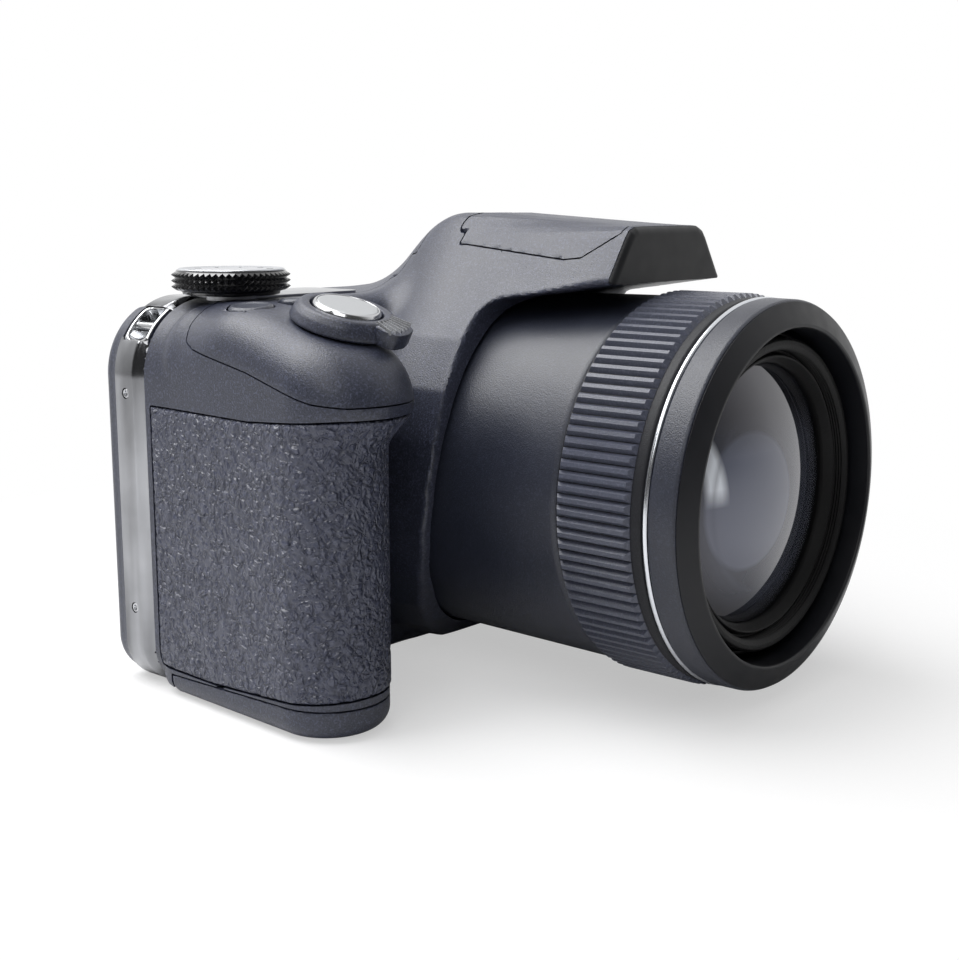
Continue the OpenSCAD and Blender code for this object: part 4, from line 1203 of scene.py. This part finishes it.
    def strip(self, bench: Bench) -> None:
        """Make the bright side strip that runs up and over the shoulder."""
        form = self.form
        grid = FieldGrid([(-75, -48, 0.36)], [(3, 15, 0.36)], [(-1, 80, 0.36)])
        outer = form.slab(grid.x, grid.y, grid.z)
        bevel = (outer - 0.35 + 0.62 * (7.0 - grid.y)) * 0.85
        holes = np.minimum.reduce([np.maximum(form.tube(grid.y, grid.z, (9.6, z), 1.05), outer * -1 - 1.0)
                                   for z in self.screws])
        parts = [np.maximum(outer - 0.35, bevel), -(outer + 1.2), 4.4 - grid.y, grid.y - self.strip_back,
                 grid.x + 50.0, 0.6 - grid.z, -self.lug_hole(grid, -1, 0.0), -holes]
        bench.piece("side_strip", make_mesh("side_strip", *grid.mesh(parts)), "body", "chrome", ["side_trim"],
                    finish="strip")
        head = [(0, -0.9), (1.0, -0.9), (1.0, -0.15), (0.85, 0.05), (0.55, 0.02), (0.5, -0.4), (0, -0.45)]
        screw = lathe("screw", soften(head, 0.12, 2), Axis.UP, (0, 0, 0), 20)
        screw.transform(Matrix.Rotation(math.pi / 2, 4, "Y"))
        low, high = self.screws
        pair = bench.pattern.bake("strip_screws", screw, Count=1, Rows=2, Radius=0.0, Step=0.0,
                                  Row_Rise=(high - low) * MM, Centre=(0.0, 9.6 * MM, low * MM),
                                  Finish=bench.finish["steel"])
        pair.transform(Matrix.Translation((-72.2 * MM, 0, 0)) @ Matrix.Scale(-1, 4, (1, 0, 0)))
        pair.flip_normals()
        bench.piece("strip_screws", pair, "body", "steel", ["side_trim_screws"])

    def lug_hole(self, grid: FieldGrid, side: int, extra: float) -> Array:
        """Measure the space of a strap lug in one top corner, grown by extra."""
        x, z = self.lugs[side]
        return round_edge(np.hypot(grid.x - x, grid.z - z) - 4.6 - extra,
                          np.abs(grid.y - 8.7) - 3.7 - extra, 0.8)

    def lug(self, bench: Bench, side: int, name: str, node: str) -> None:
        """Make one strap lug: a smooth bright cup with a bar across it.

        Args:
            bench: Where the piece goes.
            side: -1 at the grip, 1 at the other end.
            name: Piece name.
            node: Solid that it stands for.
        """
        x, z = self.lugs[side]
        grid = FieldGrid([(x - 6, x + 6, 0.22)], [(3, 14, 0.22)], [(z - 6, z + 6, 0.22)])
        cup = soft_max(self.lug_hole(grid, side, -0.02), self.form.slab(grid.x, grid.y, grid.z) - 0.1, 0.5)
        hollow = round_edge(np.hypot(grid.x - x - side * 0.9, grid.z - z - 0.9) - 4.0,
                            np.abs(grid.y - 8.7) - 2.9, 1.4)
        bar = np.maximum(np.hypot(grid.x - x - side * 0.4, grid.z - z - 0.4) - 0.95, np.abs(grid.y - 8.7) - 3.3)
        body = np.minimum(soft_max(cup, -hollow, 0.3), bar)
        bench.piece(name, make_mesh(name, *grid.mesh([body])), "body", "chrome", [node], angle=60)


# ---------------------------------------------------------------- lens


@dataclass
class ZoomLens:
    """Barrel, ribbed ring, bright ring, front ring, tubes and front glass."""

    axis_z: float = 41.0
    segments: int = 224
    ridge_count: int = 110
    ridge_length: float = 16.0
    ridge_foot: float = 36.75
    ridge_height: float = 0.95

    def turned(self, name: str, outline: Sequence[Point2], soft: float = 0.3) -> bpy.types.Mesh:
        """Turn an outline round the lens axis."""
        return lathe(name, soften(outline, soft), Axis.FORWARD, (0, 0, self.axis_z), self.segments)

    def build(self, bench: Bench) -> None:
        """Make and dress the lens.

        Args:
            bench: Where the pieces go.
        """
        barrel = [(33.8, 4.6), (36.2, 4.6), (36.2, 30), (36.6, 67.4), (36.2, 68.3), (35.7, 68.4), (35.3, 69.0),
                  (35.3, 92.8), (33.8, 92.8)]
        bench.piece("barrel", self.turned("barrel", barrel, 0.5), "body", "barrel", ["lens_barrel"])
        ring = [(35.6, 68.6), (36.9, 68.6), (self.ridge_foot, 69.2), (self.ridge_foot, 84.7), (36.95, 85.0),
                (36.95, 86.7), (36.6, 87.1), (35.6, 87.1)]
        # The core between the ridges takes the darker finish, which is painted shade in the valleys.
        bench.piece("ring_core", self.turned("ring_core", ring, 0.25), "control_ring", "ring_rubber", ["grip_ring"],
                    finish="groove")
        bar = wedge("ridge", self.ridge_length, 1.95, 0.75, self.ridge_height, 0.75)
        ridges = bench.pattern.bake("ring_ridges", bar, Count=self.ridge_count, Radius=self.ridge_foot * MM,
                                    Step=2 * math.pi / self.ridge_count, Centre=(0, -0.0688, self.axis_z * MM),
                                    Turn=(math.pi / 2, 0, 0), Finish=bench.finish["ring_rubber"])
        bench.piece("ring_ridges", ridges, "control_ring", "ring_rubber")
        bright = [(35.45, 87.4), (36.9, 87.4), (37.15, 87.7), (37.15, 88.1), (36.9, 88.4), (35.45, 88.4)]
        bench.piece("bright_ring", self.turned("bright_ring", bright, 0.15), "body", "silver", ["silver_ring"])
        front = [(35.45, 88.5), (36.8, 88.5), (37.0, 88.8), (36.95, 93.5), (36.65, 94.0), (35.45, 94.0)]
        bench.piece("front_ring", self.turned("front_ring", front, 0.2), "body", "barrel", ["front_bezel"])
        slant = [(31.8, 89.5), (33.7, 89.5), (33.7, 92.95), (35.4, 92.95), (35.4, 94.05), (36.5, 94.05),
                 (36.55, 94.2), (32.5, 95.95), (32.0, 95.95), (31.8, 95.6)]
        bench.piece("front_slant", self.turned("front_slant", slant, 0.12), "body", "barrel", finish="bevel_black")
        outer = [(30.2, 44), (31.1, 44), (31.1, 88.6), (30.8, 89), (30.2, 89)]
        bench.piece("outer_tube", self.turned("outer_tube", outer), "zoom_stage_1", "tube_black",
                    ["zoom_tube_outer"])
        thread = [(27.5 + (0.26 if k % 2 else 0.0), 92.0 - k * 0.28) for k in range(9)]
        inner = ([(28.5, 48), (29.8, 48), (29.8, 92.1), (29.3, 92.6), (28.5, 92.6), (27.9, 92.3)] + thread
                 + [(27.4, 89.4), (26.9, 89.4), (26.7, 90.5), (26.4, 90.9), (26.1, 90.9), (25.1, 89.2), (24.95, 88.6),
                    (24.95, 75.5), (28.5, 75.5)])
        bench.piece("inner_tube", self.turned("inner_tube", inner, 0.1), "zoom_stage_2", "tube_black",
                    ["zoom_tube_inner"])
        sag = [(0.0, 92.6)] + [(24.8 * math.sin(k / 18 * 0.36) / math.sin(0.36),
                                92.6 - 70.4 * (1 - math.cos(k / 18 * 0.36))) for k in range(1, 19)]
        glass = sag + [(24.8, 85.5), (23.5, 85.5), (23.5, 82.1), (24.8, 82.1), (24.8, 76.5), (0.0, 79.0)]
        mesh = lathe("front_glass", glass, Axis.FORWARD, (0, 0, self.axis_z), 128)
        bench.piece("front_glass", mesh, "zoom_stage_2", "optic", ["front_lens"])
        keeper = [(23.6, 82.2), (24.85, 82.2), (24.85, 84.2), (24.2, 84.2), (23.6, 83.6)]
        bench.piece("glass_keeper", self.turned("glass_keeper", keeper, 0.12), "zoom_stage_2", "tube_black",
                    ["lens_retainer"], finish="bevel_black")


# ---------------------------------------------------------------- top controls


@dataclass
class TopControls:
    """Mode dial, shutter button, zoom lever and the two deck buttons."""

    dial: Point2 = (-54.7, -2.0)
    dial_radius: float = 11.5
    teeth: int = 56
    shutter: Point3 = (-56.0, -34.5, 73.18)
    lean: float = math.radians(17)

    def build(self, bench: Bench) -> None:
        """Make and dress the controls.

        Args:
            bench: Where the pieces go.
        """
        self.mode_dial(bench)
        self.release(bench)
        self.deck_button(bench, "power_key", (-63.5, -18), 4.2, 76.9, "power", "power_button", (0.1, 0.05))
        self.deck_button(bench, "drive_key", (-53, -19), 3.4, 77.6, "drive", "drive_button")

    def mode_dial(self, bench: Bench) -> None:
        """Make the knurled dial and its bright face."""
        x, y = self.dial
        core = self.dial_radius - 0.75
        outline = [(0, 71), (2.4, 71), (2.4, 77.9), (core - 1.4, 77.9), (core - 1.2, 78.5), (core, 78.8),
                   (core, 82.2), (core - 0.4, 82.6), (10.6, 82.6), (10.5, 82.0), (0, 82.0)]
        body = lathe("dial_core", soften(outline, 0.15, 2), Axis.UP, (x, y, 0), 112)
        tooth = wedge("tooth", 1.12, 1.2, 0.05, 0.75, 0.55)
        teeth = bench.pattern.bake("teeth", tooth, Count=self.teeth, Rows=3, Radius=core * MM,
                                   Step=2 * math.pi / self.teeth, Row_Rise=1.14 * MM,
                                   Centre=(x * MM, y * MM, 78.85 * MM), Finish=bench.finish["dial_black"])
        bench.piece("knurled_dial", join_meshes("knurled_dial", [body, teeth]), "dial", "dial_black", ["mode_dial"])
        face = [(0, 81.9), (10.4, 81.9), (10.4, 82.75), (10.0, 82.95), (9.5, 82.8), (9.2, 82.7), (0, 82.7)]
        bench.piece("dial_face", lathe("dial_face", soften(face, 0.12, 2), Axis.UP, (x, y, 0), 112), "dial",
                    "dial_silver", ["dial_plate"])
        tick = wedge("tick", 1.3, 0.32, 0.3, 0.06, 0.0)
        tick.transform(Matrix.Rotation(math.pi / 2, 4, "Y") @ Matrix.Scale(-1, 4, (1, 0, 0)))
        tick.flip_normals()
        ticks = bench.pattern.bake("dial_ticks", tick, Count=10, Radius=6.9 * MM, Step=2 * math.pi / 10,
                                   Centre=(x * MM, y * MM, 82.68 * MM), Finish=bench.finish["unit"])
        bench.piece("dial_ticks", ticks, "dial", "dial_black", finish="unit")

    def tilted(self, mesh: bpy.types.Mesh) -> bpy.types.Mesh:
        """Lean a mesh made round the local axis onto the sloping deck."""
        place = Matrix.Translation(Vector(self.shutter) * MM) @ Euler((self.lean, 0, 0)).to_matrix().to_4x4()
        mesh.transform(place)
        return mesh

    def release(self, bench: Bench) -> None:
        """Make the shutter button and the zoom lever round it."""
        cap = [(0, -6), (2.9, -6), (2.9, 2.8), (5.6, 2.8), (5.6, 4.2), (5.3, 4.3), (0, 4.15)]
        bench.piece("release_cap", self.tilted(lathe("release_cap", soften(cap, 0.15), Axis.UP, (0, 0, 0), 96)),
                    "shutter", "button_grey", ["shutter_button"])
        rim = [(5.64, 2.8), (6.3, 2.8), (6.45, 3.0), (6.35, 3.7), (5.95, 4.3), (5.64, 4.3)]
        bench.piece("release_rim", self.tilted(lathe("release_rim", soften(rim, 0.2), Axis.UP, (0, 0, 0), 96)),
                    "shutter", "button_grey", finish="chrome")
        collar = [(6.8, 0.4), (9.9, 0.4), (10.05, 0.9), (9.5, 2.4), (8.7, 3.5), (8.2, 3.75), (7.0, 3.75), (6.8, 3.5)]
        ring = lathe("lever_ring", soften(collar, 0.3), Axis.UP, (0, 0, 0), 96)
        ahead = math.radians(-70)
        swing = Euler((0, 0, ahead)).to_matrix().to_4x4()
        outline = [(7.4, -4.6), (10.2, -4.5), (11.9, -3.4), (12.5, 0), (11.9, 3.4), (10.2, 4.5), (7.4, 4.6)]
        lean = Matrix.Translation((0, 0, 1.7)) @ Matrix.Rotation(math.radians(9), 4, "Y")
        tab = prism("lever_tab", soften(outline, 0.8), swing @ lean, 3.0, 0.35)
        bench.piece("lever_ring", self.tilted(join_meshes("lever_ring", [ring, tab])), "lever", "button_dark",
                    ["zoom_lever"], finish="shell")
        rib = wedge("tab_rib", 4.3, 0.46, 0.14, 0.7, 0.35)
        rib.transform(Matrix.Rotation(math.radians(99), 4, "Y") @ Matrix.Scale(-1, 4, (1, 0, 0)))
        rib.flip_normals()
        ribs = bench.pattern.bake("lever_ribs", rib, Count=7, Rows=1, Radius=7.7 * MM,
                                  Start=ahead - math.radians(21), Step=math.radians(7), Centre=(0, 0, 3.45 * MM),
                                  Finish=bench.finish["steel"])
        bench.piece("lever_ribs", self.tilted(ribs), "lever", "button_dark", finish="steel")

    def deck_button(self, bench: Bench, name: str, spot: Point2, radius: float, top: float, body: str,
                    node: str, lean: Point2 = (0.0, 0.0)) -> None:
        """Make one round button on the deck.

        Args:
            bench: Where the piece goes.
            name: Piece name.
            spot: Centre seen from above.
            radius: Its radius.
            top: Height of its top.
            body: Body that it rides on.
            node: Solid that it stands for.
            lean: Rise of its top along x and y, which lays it on the deck.
        """
        outline = [(0, -4.5), (radius, -4.5), (radius, -0.5), (radius - 0.5, 0), (radius - 1.1, 0),
                   (radius - 1.6, -0.25), (0, -0.35)]
        mesh = lathe(name, soften(outline, 0.25), Axis.UP, (0, 0, 0), 64)
        mesh.transform(Matrix(((1, 0, 0, spot[0] * MM), (0, 1, 0, spot[1] * MM), (*lean, 1, top * MM), (0, 0, 0, 1))))
        bench.piece(name, mesh, body, "button_dark", [node])


# ---------------------------------------------------------------- back


@dataclass
class RearControls:
    """Keys on the back, with plain signs, and the bright inlay on the deck."""

    face: float = 16.5

    def build(self, bench: Bench) -> None:
        """Make and dress the keys and the inlay.

        Args:
            bench: Where the pieces go.
        """
        self.inlay(bench)
        for name, spot, radius in (("movie", (-42, 66), 4.0), ("menu", (-58, 16.5), 3.6), ("play", (-41, 16.5), 3.6)):
            slot = "button_red" if name == "movie" else "button_dark"
            self.key(bench, name, spot, [(0, 13.2), (radius, 13.2), (radius, 16.1), (radius - 0.4, self.face),
                                         (radius - 0.9, self.face), (radius - 1.3, 16.3), (0, 16.25)], slot)
        self.key(bench, "pad", (-49, 34.5), [(5.0, 13.2), (11.0, 13.2), (11.0, 16.2), (10.5, 16.7), (9.7, 16.7),
                                             (6.4, 16.3), (5.0, 16.3)], "button_dark")
        self.key(bench, "ok", (-49, 34.5), [(0, 12.0), (4.6, 12.0), (4.6, 16.5), (4.2, 16.9), (0, 16.75)],
                 "button_grey")
        self.marks(bench)

    def inlay(self, bench: Bench) -> None:
        """Make the bright inlay on the deck."""
        outline = round_corners([(-57, -6.3), (-23.5, -6.3), (-23.5, 10), (-57, 10)], 3.0)
        mesh = prism("deck_inlay", outline, Matrix.Translation((0, 0, 76.9)), 0.6, 0.12)
        bench.piece("deck_inlay", mesh, "body", "chrome", ["top_trim"], finish="inlay")

    def key(self, bench: Bench, name: str, spot: Point2, outline: Sequence[Point2], slot: str) -> None:
        """Turn one key on the back.

        Args:
            bench: Where the piece goes.
            name: Body that it rides on.
            spot: Centre seen from the front.
            outline: Its radius and depth at each corner.
            slot: Slot that it takes its finish from.
        """
        mesh = lathe(name + "_key", soften(outline, 0.2), Axis.BACK, (spot[0], 0, spot[1]), 72)
        node = {"pad": "nav_pad"}.get(name, name + "_button")
        bench.piece(name + "_key", mesh, name, slot, [node])

    def sign(self, spot: Point2, deep: float) -> Matrix:
        """Place the plane of a sign on the back, with X to the left and Y up."""
        return Matrix(((-1, 0, 0, spot[0]), (0, 0, 1, deep), (0, 1, 0, spot[1]), (0, 0, 0, 1)))

    def marks(self, bench: Bench) -> None:
        """Set plain signs on the keys."""
        arrow = [(-1.0, -0.6), (1.0, -0.6), (0.0, 0.8)]
        tip = prism("arrow", arrow, Matrix.Identity(4), 0.3, 0.03)
        tip.transform(Matrix.Rotation(-math.pi / 2, 4, "Z"))
        arrows = bench.pattern.bake("pad_arrows", tip, Count=4, Radius=8.6 * MM, Step=math.pi / 2,
                                    Centre=(-0.049, 0.01645, 0.0345), Turn=(-math.pi / 2, 0, 0),
                                    Finish=bench.finish["mark"])
        bench.piece("pad_arrows", arrows, "pad", "button_dark", finish="mark")
        play = prism("play_sign", [(-0.9, -1.2), (1.3, 0.0), (-0.9, 1.2)], self.sign((-41, 16.5), 16.2), 0.15, 0.03)
        bench.piece("play_sign", play, "play", "button_dark", finish="mark")
        bar = prism("bar", [(-1.3, -0.2), (1.3, -0.2), (1.3, 0.2), (-1.3, 0.2)], self.sign((0, 0), 0), 0.15, 0.03)
        bars = bench.pattern.bake("menu_bars", bar, Count=1, Rows=3, Radius=0.0, Step=0.0, Row_Rise=0.0009,
                                  Centre=(-0.058, 0.0162, 0.0156), Finish=bench.finish["mark"])
        bench.piece("menu_bars", bars, "menu", "button_dark", finish="mark")


# ---------------------------------------------------------------- studio


@dataclass
class Studio:
    """Floor, light and the camera at the photograph's view."""

    eye: Point3 = (-239.65, -224.82, 94.6)
    azimuth: float = -49.33
    elevation: float = 10.67
    lens: float = 54.375
    room: float = 0.08

    def build(self) -> None:
        """Set up the floor, the lamps, the world and the camera."""
        self.floor()
        self.lamps()
        self.world()
        self.camera()
        bpy.context.scene.view_settings.view_transform = "Standard"

    def floor(self) -> None:
        """Lay a pale floor that takes the shadow."""
        points = np.array([(s * 3000, t * 3000, -0.3) for s, t in ((-1, -1), (1, -1), (1, 1), (-1, 1))])
        floor = bpy.data.objects.new("floor", make_mesh("floor", points, np.array([[0, 1, 2, 3]])))
        bpy.context.scene.collection.objects.link(floor)
        material = bpy.data.materials.new("pale_floor")
        material.use_nodes = True
        material.node_tree.nodes.clear()
        graph = Graph(material.node_tree)
        paper = graph.noise(graph.place(), 900.0, 2.0)
        tint = graph.mix(paper, (0.88, 0.88, 0.89, 1), (0.92, 0.92, 0.92, 1))
        matt = graph.node("ShaderNodeBsdfDiffuse", {}, {"Color": tint})
        glow = graph.node("ShaderNodeEmission", {}, {"Color": (1, 1, 1, 1), "Strength": 1.0})
        reach = graph.node("ShaderNodeVectorMath", {"operation": "LENGTH"}, {0: graph.place()}, "Value")
        near = graph.fit(reach, 0.08, 0.2, 0.5, 1.0) * graph.node("ShaderNodeLightPath", out="Is Camera Ray")
        way = graph.node("ShaderNodeVectorMath", {"operation": "NORMALIZE"}, {0: graph.place()})
        share = graph.math("MAXIMUM", near, self.backdrop(graph, way) * self.bounced(graph))
        both = graph.node("ShaderNodeMixShader", {}, {0: share, 1: matt, 2: glow})
        graph.node("ShaderNodeOutputMaterial", {}, {"Surface": both})
        floor.data.materials.append(material)

    def bounced(self, graph: Graph) -> Val:
        """Give 1 for what shows in metal and glass, and 0 for light on the object."""
        rays = [graph.node("ShaderNodeLightPath", out=f"Is {n} Ray") for n in ("Glossy", "Transmission")]
        return graph.math("MINIMUM", rays[0] + rays[1], 1.0)

    def backdrop(self, graph: Graph, way: Val) -> Val:
        """Give how much of the white backdrop shows in a direction, which is all of it on the far right."""
        ahead = graph.node("ShaderNodeVectorMath", {"operation": "DOT_PRODUCT"}, {0: way, 1: (0.72, 0.6, 0.36)},
                           "Value")
        return graph.fit(ahead, -0.25, 0.35, 0.0, 1.0)

    def lamp(self, name: str, place: Point3, aim: Point3, size: Point2, power: float) -> None:
        """Hang one soft lamp.

        Args:
            name: Lamp name.
            place: Where it hangs, in mm.
            aim: Where it points, in mm.
            size: Its width and height in mm.
            power: Its power in watts.
        """
        data = bpy.data.lights.new(name, "AREA")
        data.shape = "RECTANGLE"
        data.size, data.size_y = size[0] * MM, size[1] * MM
        data.energy = power
        made = bpy.data.objects.new(name, data)
        made.location = Vector(place) * MM
        made.rotation_mode = "QUATERNION"
        made.rotation_quaternion = (Vector(aim) - Vector(place)).to_track_quat("-Z", "Y")
        bpy.context.scene.collection.objects.link(made)

    def lamps(self) -> None:
        """Hang the back lamp and the left lamp."""
        self.lamp("back_lamp", (-210, 230, 680), (-10, -20, 50), (720, 660), 9.1)
        self.lamp("left_lamp", (-520, -330, 520), (-30, -30, 40), (400, 400), 1.3)

    def world(self) -> None:
        """Surround the scene with white that the camera and reflections see."""
        world = bpy.data.worlds.new("white_room")
        bpy.context.scene.world = world
        world.use_nodes = True
        world.node_tree.nodes.clear()
        graph = Graph(world.node_tree)
        way = graph.node("ShaderNodeTexCoord", out="Generated")
        straight = graph.node("ShaderNodeLightPath", out="Is Camera Ray")
        share = graph.math("MAXIMUM", straight, self.backdrop(graph, way) * self.bounced(graph))
        plain = graph.node("ShaderNodeBackground", {}, {"Color": (1, 1, 1, 1), "Strength": self.room})
        white = graph.node("ShaderNodeBackground", {}, {"Color": (1, 1, 1, 1), "Strength": 1.0})
        both = graph.node("ShaderNodeMixShader", {}, {0: share, 1: plain, 2: white})
        graph.node("ShaderNodeOutputWorld", {}, {"Surface": both})

    def camera(self) -> None:
        """Put the camera at the photograph's view."""
        data = bpy.data.cameras.new("photo_camera")
        data.lens, data.sensor_width = self.lens, 36.0
        made = bpy.data.objects.new("photo_camera", data)
        a, e = math.radians(self.azimuth), math.radians(self.elevation)
        back = Vector((math.sin(a) * math.cos(e), -math.cos(a) * math.cos(e), math.sin(e)))
        made.location = Vector(self.eye) * MM
        made.rotation_mode = "QUATERNION"
        made.rotation_quaternion = (-back).to_track_quat("-Z", "Y")
        data.clip_start = 0.01
        bpy.context.scene.collection.objects.link(made)
        bpy.context.scene.camera = made


def main(frame: dict[str, Any]) -> None:
    """Build every sub-assembly in order.
    """
    bench = Bench(frame)
    bench.carry()
    BodyShells(BodyForm()).build(bench)
    ZoomLens().build(bench)
    TopControls().build(bench)
    RearControls().build(bench)
    Studio().build()


if __name__ == "__main__":
    logging.basicConfig(level=logging.INFO, format="%(message)s")
    for old in list(bpy.data.objects):
        bpy.data.objects.remove(old)
    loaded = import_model()
    main(loaded)
